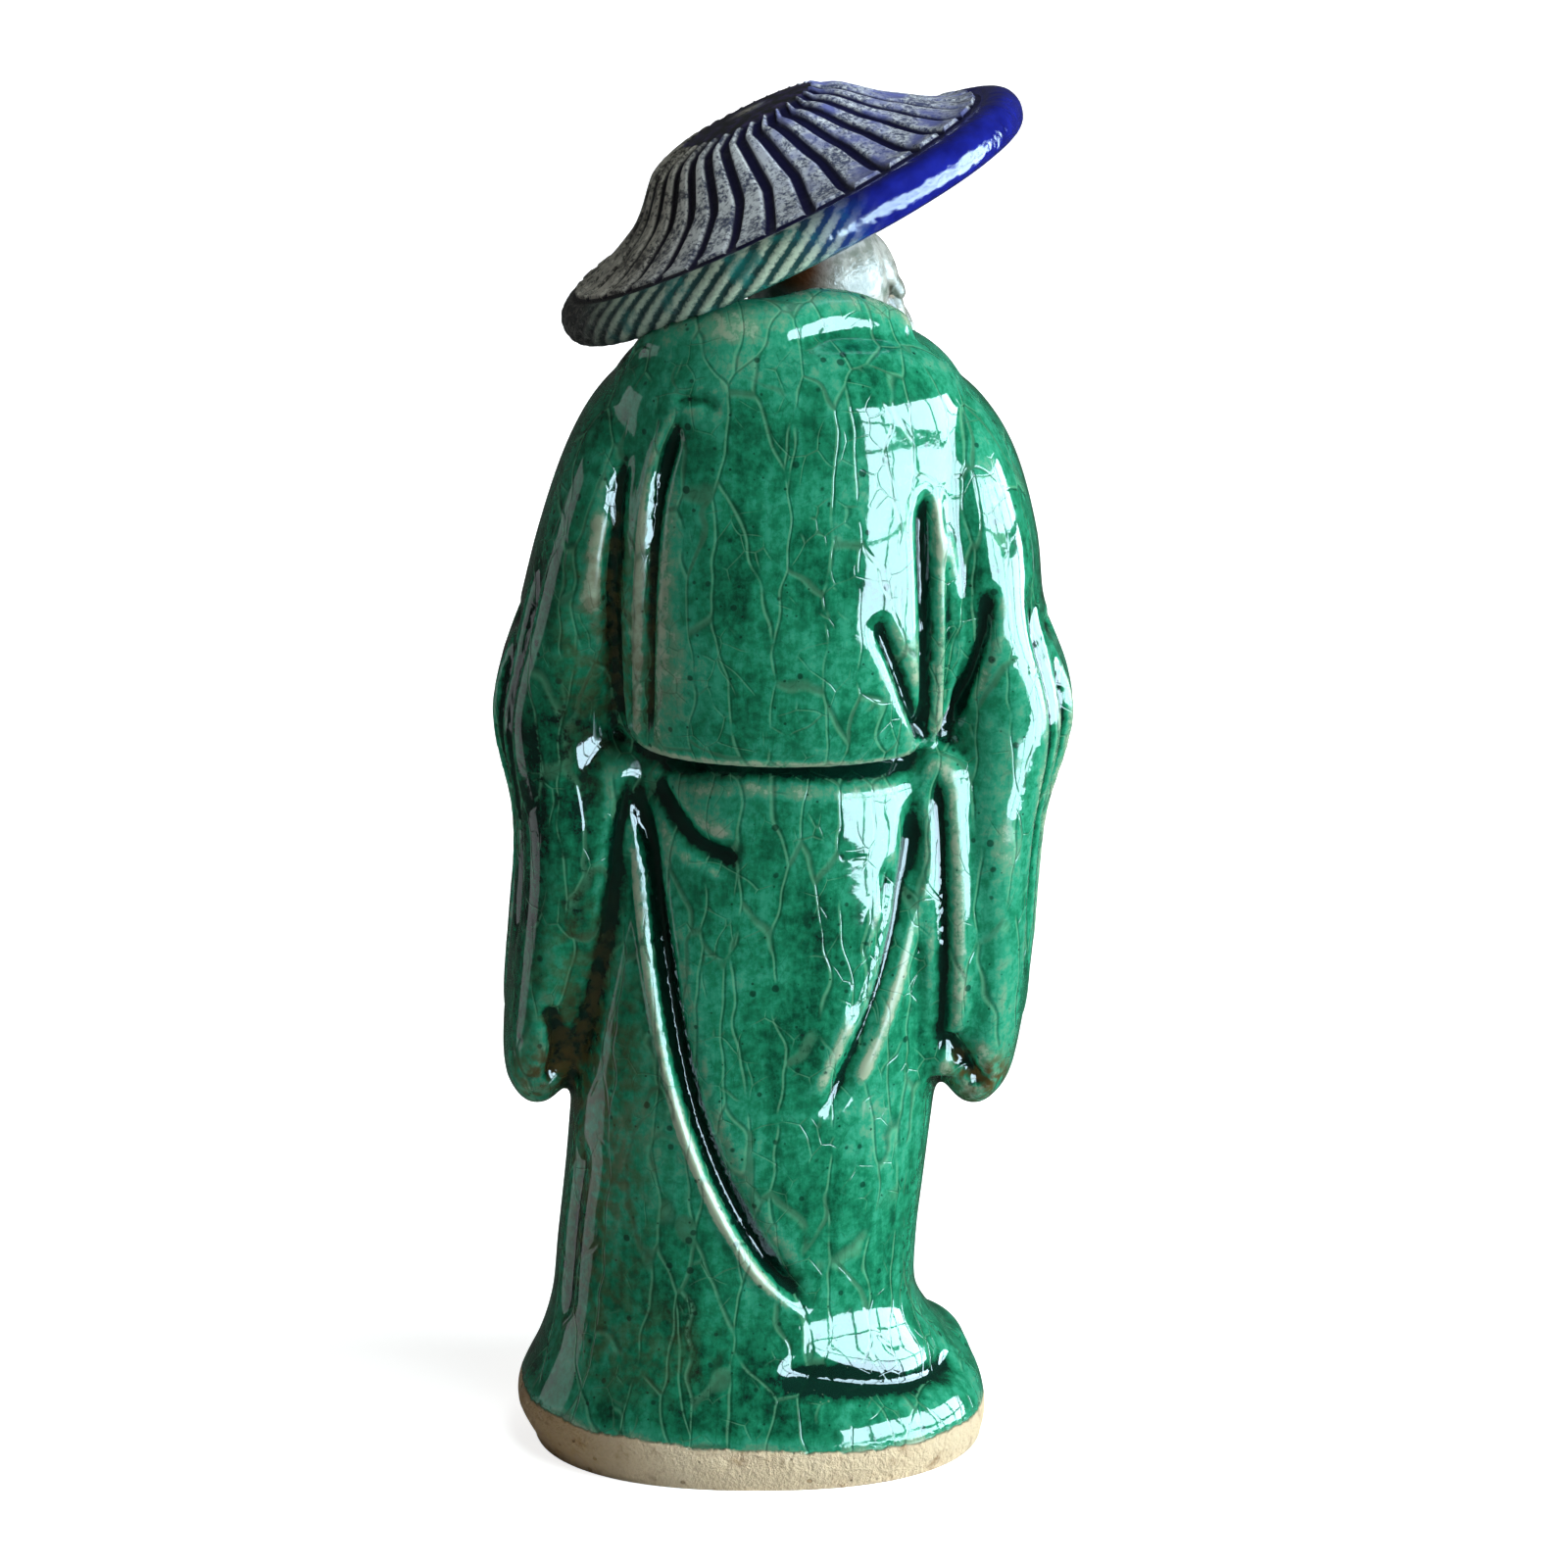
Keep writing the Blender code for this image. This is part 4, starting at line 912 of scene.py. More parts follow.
def foot_rings():
    """The bare foot's rings, from below the cut to the underside of the glazed hem."""
    sizes = settings().figure
    share = share_size()
    width = sizes.foot_width / 2 / share
    depth = sizes.foot_depth / 2 / share
    hem = sizes.foot_rim * HEM_START / share
    swell = sizes.hem_swell / share
    return (
        (BELOW_FOOT, FOOT_MIDDLE, 0.0, width, depth),
        (0.0, FOOT_MIDDLE, 0.0, width, depth),
        (hem, FOOT_MIDDLE / 2, 0.0, width + swell, depth + swell),
    )


def cut_foot(piece):
    """Cut the robe flat at its foot and close the cut."""
    bm = bmesh.new()
    bm.from_mesh(piece.data)
    geometry = bm.verts[:] + bm.edges[:] + bm.faces[:]
    bmesh.ops.bisect_plane(bm, geom=geometry, plane_co=(0, 0, 0), plane_no=(0, 0, 1),
                           clear_inner=True)
    rim = [edge for edge in bm.edges if edge.is_boundary]
    bmesh.ops.holes_fill(bm, edges=rim)
    bmesh.ops.triangulate(bm, faces=bm.faces)
    bm.to_mesh(piece.data)
    bm.free()


def make_robe():
    """Skirt, jacket, sleeves and joined forearms as one body, with every fold carved in."""
    sizes = settings().figure
    bm = bmesh.new()
    right_bag_rings = [(z, 2 * lean(z) - x, *rest) for z, x, *rest in SLEEVE_BAG_RINGS]
    for rings in (foot_rings() + SKIRT_RINGS, JACKET_RINGS, LEFT_SLEEVE_RINGS, RIGHT_SLEEVE_RINGS,
                  SLEEVE_BAG_RINGS, right_bag_rings):
        loft(bm, smooth_rows(rings))
    for roll in (FOREARM_ROLL, SHOE_ROLL, FRONT_HEM_ROLL):
        beads(bm, roll)
        beads(bm, roll, mirrored=True)
    for roll in (COLLAR_ROLL, LEFT_VALLEY_ROLL, RIGHT_VALLEY_ROLL):
        beads(bm, roll)
    grain = sizes.robe_grain * 1
    robe = fuse("robe", bm, grain, ROBE_SOFTENING)
    carve(robe, robe_sides(), sizes.fold_depth)
    thin_out(robe, sizes.robe_triangles)
    cut_foot(robe)
    mesh = robe.data
    keep_attribute(mesh, "edge_relief", relief(mesh, FINE_ROUNDS))
    keep_attribute(mesh, "form_relief", relief(mesh, BROAD_ROUNDS))
    mesh.shade_smooth()
    return robe


def face_folds():
    """The carving of the face, on both its sides, and the grooves that run down the beard."""
    folds = [MOUTH_LINE]
    for kind, half_width, strength, points in PAIRED_FACE_FOLDS:
        for way in (1, -1):
            folds.append((kind, half_width, strength, tuple((way * x, up) for x, up in points)))
    for lock in range(BEARD_LOCKS):
        spread_share = 2 * (lock + 0.5) / BEARD_LOCKS - 1
        points = []
        for side, forward, up, radius in BEARD_ROLL:
            points.append((side + spread_share * BEARD_LOCK_SPAN * radius, up))
        folds.append(("groove", BEARD_LOCK_HALF_WIDTH, BEARD_LOCK_STRENGTH, tuple(points)))
    return tuple(folds)


def hair_share(mesh, place):
    """1 on hair, whiskers and beard, and 0 on the bare face."""
    back = np.array(place.inverted())
    local = mesh_arrays(mesh)[0] @ back[:3, :3].T + back[:3, 3]
    forward, up = local[:, 1], local[:, 2]
    beard = np.clip((BEARD_TOP - up) / BEARD_FADE, 0, 1)
    scalp = np.clip((HAIR_LINE - forward) / HAIR_FADE, 0, 1)
    return np.clip(beard + scalp, 0, 1)


def make_head():
    """A calm, generic old man's head with brows, nose, ears, moustache and long beard."""
    sizes = settings().figure
    bm = bmesh.new()
    place = head_frame()
    for form in HEAD_FORMS:
        add_form(bm, place, *form)
    for side_way, *rest in PAIRED_HEAD_FORMS:
        add_form(bm, place, side_way, *rest)
        add_form(bm, place, -side_way, *rest)
    roll_in_frame(bm, place, NOSE_ROLL)
    roll_in_frame(bm, place, BEARD_ROLL, flatten=(1.0, BEARD_FLATNESS, 1.0))
    for roll in (BROW_ROLL, MOUSTACHE_ROLL, WHISKER_ROLL):
        roll_in_frame(bm, place, roll)
        roll_in_frame(bm, place, roll, side=-1.0)
    grain = sizes.head_grain * 1
    head = fuse("head", bm, grain, HEAD_SOFTENING)
    carve(head, ((place, face_folds()),), sizes.face_depth)
    mesh = head.data
    keep_attribute(mesh, "edge_relief", relief(mesh, FINE_ROUNDS))
    keep_attribute(mesh, "hair", hair_share(mesh, place))
    mesh.shade_smooth()
    return head


def hat_profile():
    """Radius, height, panel share and strand share of the hat's rings, from crown to underside."""
    hat = settings().hat
    width = hat.radius - hat.crown_radius
    rings = []
    for out, up, raised in HAT_CROWN_RINGS:
        rings.append((hat.crown_radius * out, hat.crown_rise * up, raised, 0.0))
    for out, up, raised in HAT_BRIM_RINGS:
        rings.append((hat.crown_radius + width * out, hat.crown_rise * up, raised, 0.0))
    for out, up, raised in HAT_RIM_RINGS:
        rings.append((hat.radius * out, hat.rim_height * up, 0.0, raised))
    for out, up in HAT_UNDER_RINGS:
        rings.append((hat.radius * out, hat.rim_height * up, 0.0, 0.0))
    return smooth_rows(rings, HAT_RING_STEPS)


def blueness(angle):
    """From 0 on the lowered side of the brim to 1 on the raised, cobalt side."""
    return 0.5 + 0.5 * math.cos(angle - BLUE_ANGLE)


def strand_fill(angle):
    """How far the glaze leaves the strands open, least at the raised and lowered ends."""
    blue = blueness(angle)
    bluer, paler, fade = FILL_LIMITS
    raised = max(0.0, min(1.0, (blue - bluer) / fade))
    lowered = max(0.0, min(1.0, (paler - blue) / fade))
    return 1.0 - RAISED_FILL * raised - LOWERED_FILL * lowered


def hat_drift(radius):
    """How far the ring of this radius lies off the hat's middle."""
    outs, drifts = zip(*HAT_DRIFT)
    whole = settings().hat.radius
    return whole * float(np.interp(radius / whole, outs, drifts))


def hat_ring_point(ring, step, level, under_level):
    """One point of a ring, moved on to its panel, its groove or its strand."""
    hat = settings().hat
    radius, height, panel_share, strand_share = ring
    angle = 2 * math.pi * step / HAT_STEPS
    across = step * hat.panels / HAT_STEPS % 1.0
    from_groove = min(across, 1.0 - across) * 2 * math.pi * radius / hat.panels
    widening = 1 + GROOVE_WIDENING * max(0.0, radius / hat.radius - CROWN_EDGE)
    panel = (from_groove - hat.groove_width / 2 * widening) / hat.groove_wall
    panel = min(1.0, max(0.0, panel))
    panel = panel * panel * (3 - 2 * panel)
    height += (panel - RELIEF_LEVEL) * hat.panel_raise * panel_share
    slope = STRAND_SLOPE * (1 - height / hat.rim_height)
    strand = abs(math.sin((angle - slope) * hat.strands / 2)) ** STRAND_POWER
    radius += (strand - RELIEF_LEVEL) * hat.strand_raise * strand_share * strand_fill(angle)
    shift = hat_drift(radius) if level < under_level else 0.0
    place = Vector((radius * math.cos(angle) + shift, radius * math.sin(angle), height))
    return place, panel, strand * max(0.0, strand_share)


def make_hat():
    """The wide hat: a low crown, raised radial panels, and a thick rim of slanting strands."""
    bm = bmesh.new()
    hat = settings().hat
    grooves, strands, rims, blues, crowns = [
        bm.verts.layers.float.new(mark) for mark in HAT_MARKS]
    first = bmesh.ops.create_circle(bm, cap_ends=False, segments=HAT_STEPS, radius=hat.crown_radius)
    crown_loop = loop = first["verts"]
    edges = list(bm.edges)
    rings = hat_profile()
    under_level = len(rings) - len(HAT_UNDER_RINGS) * HAT_RING_STEPS
    sunk_level = (len(HAT_CROWN_RINGS) + len(HAT_BRIM_RINGS) - 2) * HAT_RING_STEPS - 1
    rim_level = (len(HAT_CROWN_RINGS) + len(HAT_BRIM_RINGS) - 1) * HAT_RING_STEPS
    for level, ring in enumerate(rings):
        if level:
            made = bmesh.ops.extrude_edge_only(bm, edges=edges)["geom"]
            edges = [item for item in made if isinstance(item, bmesh.types.BMEdge)]
            fresh = [item for item in made if isinstance(item, bmesh.types.BMVert)]
            loop = order_like(loop, fresh)
        for step, vert in enumerate(loop):
            vert.co, panel, vert[strands] = hat_ring_point(ring, step, level, under_level)
            vert[grooves] = (1 - panel) * min(1.0, max(0.0, ring[2])) if level < sunk_level else 1.0
            vert[rims] = 1.0 if level >= rim_level else 0.0
            vert[blues] = blueness(2 * math.pi * step / HAT_STEPS)
            vert[crowns] = 1.0 if ring[0] < hat.crown_radius * CROWN_EDGE else 0.0
    close_pole(bm, crown_loop, Vector((hat_drift(0.0), 0.0, hat.crown_rise)))
    close_pole(bm, loop, Vector((0.0, 0.0, hat.rim_height * HAT_UNDER_MIDDLE)))
    bmesh.ops.recalc_face_normals(bm, faces=bm.faces)
    place = head_frame()
    share = share_size()
    up = (place.to_3x3() @ Vector((0.0, 0.0, 1.0))).normalized()
    seat = Vector(HEAD_CENTRE) * share + up * HAT_ABOVE_HEAD * share
    turn = place.to_3x3().normalized().to_4x4()
    bm.transform(Matrix.Translation(seat) @ turn)
    piece = new_piece("hat", bm)
    piece.data.shade_smooth()
    return piece


def order_like(old_loop, fresh):
    """The freshly extruded vertices, in the order of the loop that they came from."""
    fresh_set = set(fresh)
    ordered = []
    for vert in old_loop:
        for edge in vert.link_edges:
            other = edge.other_vert(vert)
            if other in fresh_set:
                ordered.append(other)
    return ordered


def close_pole(bm, loop, place):
    """Close a ring with a fan of triangles round one middle point."""
    pole = bm.verts.new(place)
    for index, vert in enumerate(loop):
        bm.faces.new((vert, loop[(index + 1) % len(loop)], pole))


class Finish:
    """A material with one shader, and short ways to add the nodes that feed it."""

    def __init__(self, name):
        self.material = bpy.data.materials.new(name)
        self.material.use_nodes = True
        self.tree = self.material.node_tree
        self.shader = self.tree.nodes["Principled BSDF"]
        coordinates = self.tree.nodes.new("ShaderNodeTexCoord")
        self.place = self.scaled(coordinates.outputs["Object"], (1 / MILLIMETRE,) * 3)

    def add(self, kind, *values, **options):
        """A node with its options set and its input sockets fed in order."""
        node = self.tree.nodes.new(kind)
        for option, value in options.items():
            setattr(node, option, value)
        for socket, value in zip(node.inputs, values):
            self.feed(socket, value)
        return node

    def feed(self, socket, value):
        if isinstance(value, bpy.types.NodeSocket):
            self.tree.links.new(value, socket)
        elif value is not None:
            socket.default_value = value

    def scaled(self, vector, factors):
        return self.add("ShaderNodeVectorMath", vector, factors, operation="MULTIPLY").outputs[0]

    def moved(self, vector, offset):
        return self.add("ShaderNodeVectorMath", vector, offset, operation="ADD").outputs[0]

    def attribute(self, name):
        return self.add("ShaderNodeAttribute", attribute_name=name).outputs["Fac"]

    def height(self):
        """Height over the foot in millimetres."""
        return self.add("ShaderNodeSeparateXYZ", self.place).outputs["Z"]

    def maths(self, operation, first, second):
        return self.add("ShaderNodeMath", first, second, operation=operation).outputs[0]

    def times(self, first, second):
        return self.maths("MULTIPLY", first, second)

    def plus(self, first, second):
        return self.maths("ADD", first, second)

    def steps(self, value, low, high, to_low=0.0, to_high=1.0):
        """A smooth change from one value to another as the input passes from low to high."""
        node = self.add("ShaderNodeMapRange", interpolation_type="SMOOTHSTEP")
        for name, entry in (("Value", value), ("From Min", low), ("From Max", high),
                            ("To Min", to_low), ("To Max", to_high)):
            self.feed(node.inputs[name], entry)
        return node.outputs["Result"]

    def spot(self, centre, radii):
        """1 in the middle of a soft ellipsoid, fading to 0 at its surface. In millimetres."""
        offset = self.moved(self.place, tuple(-value for value in centre))
        offset = self.scaled(offset, tuple(1 / value for value in radii))
        distance = self.add("ShaderNodeVectorMath", offset, operation="LENGTH").outputs["Value"]
        return self.steps(distance, 1.0, 0.25)

    def noise(self, size, detail=2.0, roughness=0.5, vector=None):
        """Soft noise whose patches are about size millimetres."""
        node = self.tree.nodes.new("ShaderNodeTexNoise")
        for name, value in (("Vector", vector or self.place), ("Scale", 1 / size),
                            ("Detail", detail), ("Roughness", roughness)):
            self.feed(node.inputs[name], value)
        return node.outputs[0]

    def warp(self, vector, size, amount, detail=2.0):
        """The vector pushed about by noise, by up to amount in its own unit."""
        node = self.tree.nodes.new("ShaderNodeTexNoise")
        for name, value in (("Vector", vector), ("Scale", 1 / size), ("Detail", detail)):
            self.feed(node.inputs[name], value)
        centred = self.moved(node.outputs["Color"], (-0.5, -0.5, -0.5))
        return self.add("ShaderNodeVectorMath", self.scaled(centred, (2 * amount,) * 3), vector,
                        operation="ADD").outputs[0]

    def cells(self, vector, feature):
        node = self.add("ShaderNodeTexVoronoi", feature=feature)
        self.feed(node.inputs["Vector"], vector)
        self.feed(node.inputs["Scale"], 1.0)
        return node

    def mix(self, share, first, second):
        node = self.tree.nodes.new("ShaderNodeMix")
        node.data_type = "RGBA"
        self.feed(node.inputs[0], share)
        for socket, tint in ((node.inputs[6], first), (node.inputs[7], second)):
            self.feed(socket, tint if isinstance(tint, bpy.types.NodeSocket) else (*tint, 1.0))
        return node.outputs[2]

    def ramp(self, value, stops):
        """Colours at positions from 0 to 1."""
        node = self.tree.nodes.new("ShaderNodeValToRGB")
        self.feed(node.inputs[0], value)
        elements = node.color_ramp.elements
        while len(elements) < len(stops):
            elements.new(1.0)
        for element, (position, tint) in zip(elements, stops):
            element.position = position
            element.color = (*tint, 1.0)
        return node.outputs[0]

    def bump(self, height, distance, under=None):
        """A bump of the given height in metres, over an earlier one."""
        node = self.tree.nodes.new("ShaderNodeBump")
        for name, value in (("Distance", distance), ("Height", height), ("Normal", under)):
            self.feed(node.inputs[name], value)
        return node.outputs[0]

    def finish(self, base, roughness, normal, ior=1.52):
        self.feed(self.shader.inputs["Base Color"], base)
        self.feed(self.shader.inputs["Roughness"], roughness)
        self.feed(self.shader.inputs["Normal"], normal)
        self.shader.inputs["IOR"].default_value = ior
        return self.material


def crackle(finish, cell_width, cell_height, line, seed, gaps):
    """Dark and pale sides of a net of crazing lines, as two masks. The pale side is a painted
    highlight, the line shifted up and towards -x.
    """
    wavy = finish.warp(finish.place, cell_width * 1.6, cell_width * 0.32, detail=1.0)
    wavy = finish.moved(wavy, (seed, seed * 0.7, seed * 0.3))
    to_cells = (1 / cell_width, 1 / cell_width, 1 / cell_height)
    broken = finish.steps(finish.noise(cell_width * 1.3, 1.0), gaps, gaps + 0.12)
    masks = []
    # The second mask is the line shifted up and towards -x: its painted highlight
    for shift in ((0.0, 0.0, 0.0), (-line * 1.3, 0.0, line * 0.7)):
        cells = finish.cells(finish.scaled(finish.moved(wavy, shift), to_cells), "DISTANCE_TO_EDGE")
        reach = line / cell_width
        edge = finish.steps(cells.outputs["Distance"], 0.15 * reach, reach, 1.0, 0.0)
        masks.append(finish.times(edge, broken))
    return masks


def specks(finish, spacing, largest, share):
    """Round dots of many sizes, at about one for each spacing cubed."""
    place = finish.warp(finish.place, spacing * 0.3, spacing * 0.03)
    cells = finish.cells(finish.scaled(place, (1 / spacing,) * 3), "F1")
    chance = finish.add("ShaderNodeSeparateColor", cells.outputs["Color"]).outputs[0]
    radius = finish.steps(chance, 1.0 - share, 1.0, 0.0, largest / spacing)
    return finish.steps(finish.maths("SUBTRACT", cells.outputs["Distance"], radius),
                        -0.04, 0.03, 1.0, 0.0)


def glaze_thickness(finish, above):
    """How thickly the green glaze lies, from 0 on sharp ridges to 1 in hollows, with one broad wash
    of painted shade over the figure's left side.
    """
    fine = finish.attribute("edge_relief")
    form = finish.attribute("form_relief")
    carved = finish.attribute("carved")
    brushed = finish.scaled(finish.place, RUN_SQUEEZE)
    level = GLAZE_LEVEL
    for (*noise, less, more), vector in (
            (GLAZE_BROAD, None), (GLAZE_RUNS, brushed), (GLAZE_MOTTLE, None)):
        patches = finish.noise(*noise, vector=vector)
        level = finish.plus(level, finish.steps(patches, 0.34, 0.66, less, more))
    # The washes include one that darkens the figure's left side as painted shade
    for centre, radii, change in WASHES_AND_PAINTED_SHADE:
        level = finish.plus(level, finish.times(finish.spot(centre, radii), change))
    for relief_kind, low, high, change in (
            (fine, 0.015, 0.12, -RIDGE_THINNING),
            (form, 0.05, 0.45, -FORM_THINNING),
            (carved, 0.03, 0.30, -BANK_THINNING),
            (above, 1.1, 0.0, -BORDER_THINNING),
            (fine, -0.02, -0.14, HOLLOW_POOLING),
            (carved, -0.12, -0.75, GROOVE_POOLING),
            (form, -0.1, -0.7, VALLEY_POOLING)):
        level = finish.plus(level, finish.steps(relief_kind, low, high, 0.0, change))
    return level


def clay_border(finish):
    """1 where the foot is bare clay, with the glaze ending on an uneven line above it."""
    wander = finish.noise(7.0, 2.0, 0.5)
    ragged = finish.noise(0.8, 3.0, 0.6)
    line = finish.plus(CLAY_LINE, finish.times(finish.plus(wander, -0.5), CLAY_WANDER))
    line = finish.plus(line, finish.times(finish.plus(ragged, -0.5), CLAY_RAGGED))
    across = finish.add("ShaderNodeSeparateXYZ", finish.place).outputs["X"]
    line = finish.plus(line, finish.times(across, CLAY_RISE))
    above = finish.maths("SUBTRACT", finish.height(), line)
    return finish.steps(above, -0.10, 0.10, 1.0, 0.0), above


def green_glaze(finish, level):
    """The green glaze's colour, crazed, specked and stained, and the relief of its crazing. Beside
    the crazing lines it paints highlights, and its broad stains on the figure's left also paint
    shade.
    """
    colours = settings().glaze
    base = finish.ramp(level, [(place, getattr(colours, name)) for place, name in GLAZE_STOPS])
    shown = finish.steps(level, *PAINTED_HIGHLIGHTS_HIDDEN)
    dark_sides, painted_highlights = zip(*[crackle(finish, *net) for net in CRACKLES])
    # Painted highlights beside the crazing lines
    for side, share in zip(painted_highlights, PAINTED_HIGHLIGHT_SHARES):
        base = finish.mix(finish.times(finish.times(side, shown), share), base, colours.crack_painted_highlight)
    for side, share in zip(dark_sides, DARK_SHARES):
        base = finish.mix(finish.times(side, share), base, colours.crack_dark)
    for dots in SPECKS:
        base = finish.mix(finish.times(specks(finish, *dots), 0.75), base, colours.green_deep)
    bubbles = finish.times(specks(finish, *BUBBLES), finish.spot(*HEM_POOL))
    base = finish.mix(finish.times(bubbles, 0.6), base, colours.green_bare)
    # Brown stains, and broad ones on the figure's left that also paint shade
    for centre, radii, share in STAINS_AND_PAINTED_SHADE:
        patchy = finish.steps(finish.noise(0.9, 4.0), 0.36, 0.62)
        stain_and_shade = finish.times(finish.spot(centre, radii), patchy)
        base = finish.mix(finish.times(stain_and_shade, share), base, colours.stain_and_shade)
    return base, finish.plus(*map(finish.times, dark_sides, CRACK_CUTS))


def bare_clay(finish):
    """The colour and the grit of the unglazed foot."""
    colours = settings().glaze
    patch = finish.noise(1.4, 4.0, 0.65)
    clay = finish.mix(finish.steps(patch, 0.50, 0.80), colours.clay, colours.clay_dark)
    pits = specks(finish, *PITS)
    clay = finish.mix(finish.times(pits, 0.7), clay, colours.clay_dark)
    clay = finish.mix(finish.times(finish.spot(*CLAY_DARKER_SIDE), 0.75), clay, colours.clay_darker_side)
    grit = finish.plus(finish.noise(0.35, 4.0, 0.7), finish.times(finish.noise(1.6, 2.0), 1.2))
    return clay, finish.plus(grit, finish.times(pits, -0.8))


def robe_glaze():
    """Green lead glaze over buff clay: pooled, broken over ridges, crazed and specked, with painted
    highlights beside the crazing and painted shade over the figure's left side.
    """
    finish = Finish("robe_glaze")
    bare, above = clay_border(finish)
    level = glaze_thickness(finish, above)
    green, lines = green_glaze(finish, level)
    clay, grit = bare_clay(finish)
    base = finish.mix(bare, green, clay)
    roughness = finish.steps(level, 0.10, 0.45, 0.30, 0.05)
    roughness = finish.plus(finish.times(bare, 0.50), roughness)
    waves = finish.plus(finish.noise(3.4, 1.0), finish.times(finish.noise(0.7, 2.0), 0.06))
    normal = finish.bump(waves, GLAZE_WAVES)
    normal = finish.bump(lines, CRACK_DEPTH, under=normal)
    normal = finish.bump(finish.steps(above, 0.0, 0.5), GLAZE_LIP, under=normal)
    normal = finish.bump(finish.times(grit, bare), CLAY_GRIT, under=normal)
    return finish.finish(base, roughness, normal, ior=GLAZE_IOR)


def hat_glaze():
    """Worn grey over the panels, navy in the grooves, and a rim from brown-grey to cobalt."""
    finish = Finish("hat_glaze")
    tints = settings().hat_colours
    groove, strand, rim, blue, crown = [finish.attribute(mark) for mark in HAT_MARKS]
    flecks = finish.noise(0.30, 5.0, 0.75)
    uneven = finish.plus(flecks, -0.5)
    patch = finish.noise(2.2, 4.0, 0.6)
    worn = finish.plus(finish.times(flecks, 0.65), finish.times(patch, 0.35))
    worn = finish.steps(worn, 0.42, 0.55)
    warm = finish.mix(worn, tints.warm_dark, tints.warm_worn)
    cool = finish.mix(worn, tints.cool_dark, tints.cool_worn)
    panel = finish.mix(finish.steps(blue, 0.20, 0.60), warm, cool)
    violet = finish.times(finish.steps(blue, 0.60, 0.95), finish.steps(patch, 0.42, 0.62, 0.1, 0.9))
    panel = finish.mix(violet, panel, tints.violet)
    streak = finish.noise(0.7, 5.0, 0.65)
    dome = finish.mix(finish.steps(streak, 0.46, 0.60), tints.crown_grey, tints.crown_violet)
    dome = finish.mix(finish.steps(streak, 0.62, 0.70, 0.0, 0.8), dome, tints.crown_worn)
    panel = finish.mix(crown, panel, dome)
    sunk = finish.mix(finish.steps(blue, 0.20, 0.85), tints.groove_dark, tints.groove_navy)
    edge = finish.plus(groove, finish.times(uneven, 0.6))
    base = finish.mix(finish.steps(edge, 0.20, 0.70), panel, sunk)
    scratch = finish.noise(0.30, 5.0, 0.75, vector=finish.warp(finish.place, 1.2, 0.5))
    lit = finish.steps(finish.plus(strand, finish.times(uneven, 1.1)), 0.55, 1.05)
    brown = finish.mix(finish.steps(scratch, 0.48, 0.64), tints.rim_dark, tints.rim_worn)
    green = finish.mix(lit, tints.strand_dark, tints.strand_lit)
    green = finish.mix(finish.steps(patch, 0.50, 0.66, 0.0, 0.8), green, tints.teal)
    cobalt = finish.mix(finish.noise(1.5, 3.0), tints.cobalt_dark, tints.cobalt)
    rolled = finish.mix(finish.steps(blue, 0.14, 0.34), brown, green)
    rolled = finish.mix(finish.steps(blue, 0.68, 0.86), rolled, cobalt)
    base = finish.mix(rim, base, rolled)
    gloss = finish.steps(blue, 0.20, 0.70, 0.42, 0.07)
    matt = finish.maths("SUBTRACT", 1.0, rim)
    roughness = finish.plus(finish.times(gloss, rim), finish.times(matt, 0.40))
    rough_skin = finish.times(scratch, finish.steps(blue, 0.62, 0.30, 0.06, 1.0))
    normal = finish.bump(rough_skin, HAT_SCRATCHES)
    normal = finish.bump(finish.noise(1.6, 2.0), HAT_WAVES, under=normal)
    return finish.finish(base, roughness, normal, ior=GLAZE_IOR)


def head_glaze():
    """Bare clay face, brown at the nape that is partly hair and partly painted shade under the hat,
    and white glaze over hair, whiskers and beard.
    """
    finish = Finish("head_glaze")
    tints = settings().head_colours
    hair = finish.attribute("hair")
    fine = finish.attribute("edge_relief")
    patch = finish.noise(1.3, 4.0, 0.6)
    skin = finish.mix(finish.steps(patch, 0.4, 0.7), tints.face, tints.face_darker_patch)
    skin = finish.mix(finish.steps(fine, 0.0, -0.05), skin, tints.face_line)
    white = finish.mix(finish.steps(patch, 0.38, 0.62), tints.white, tints.grey)
    run = finish.steps(finish.noise(2.6, 2.0), 0.56, 0.70, 0.0, 0.7)
    white = finish.mix(run, white, tints.green)
    white = finish.mix(finish.steps(fine, 0.01, -0.04), white, tints.hair_line)
    # Brown at the nape, partly painted shade of the gap under the hat
    white = finish.mix(finish.spot(*NAPE_AND_SHADE), white, tints.nape)
    base = finish.mix(hair, skin, white)
    roughness = finish.plus(0.72, finish.times(hair, -0.58))
    normal = finish.bump(finish.noise(0.3, 3.0, 0.6), HEAD_SKIN)
    return finish.finish(base, roughness, normal)


def dress(piece, material):
    """Give the piece its finish and put it in the solid's place."""
    piece.data.materials.clear()
    piece.data.materials.append(material)
    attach(piece, BODY)
    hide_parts(CAD_NODE)


def aimed(thing, place, target):
    """Put a camera or lamp at a place, looking at the target."""
    thing.location = place
    thing.rotation_euler = (Vector(target) - Vector(place)).to_track_quat("-Z", "Y").to_euler()


def add_camera():
    stage = settings().stage
    data = bpy.data.cameras.new("camera")
    data.lens = stage.lens
    data.sensor_width = 36.0
    data.clip_start = 0.01
    camera = new_object("camera", data)
    target = Vector(VIEW_TARGET) * MILLIMETRE
    rise = stage.camera_elevation
    away = Vector((0.0, math.cos(rise), math.sin(rise))) * stage.camera_distance
    aimed(camera, target + away, target)
    bpy.context.scene.camera = camera


def add_lamp(name, width, height, power, tint):
    """A flat oblong lamp."""
    lamp = bpy.data.lights.new(name, "AREA")
    lamp.shape = "RECTANGLE"
    lamp.size = width
    lamp.size_y = height
    lamp.energy = power
    lamp.color = tint
    return new_object(name, lamp)


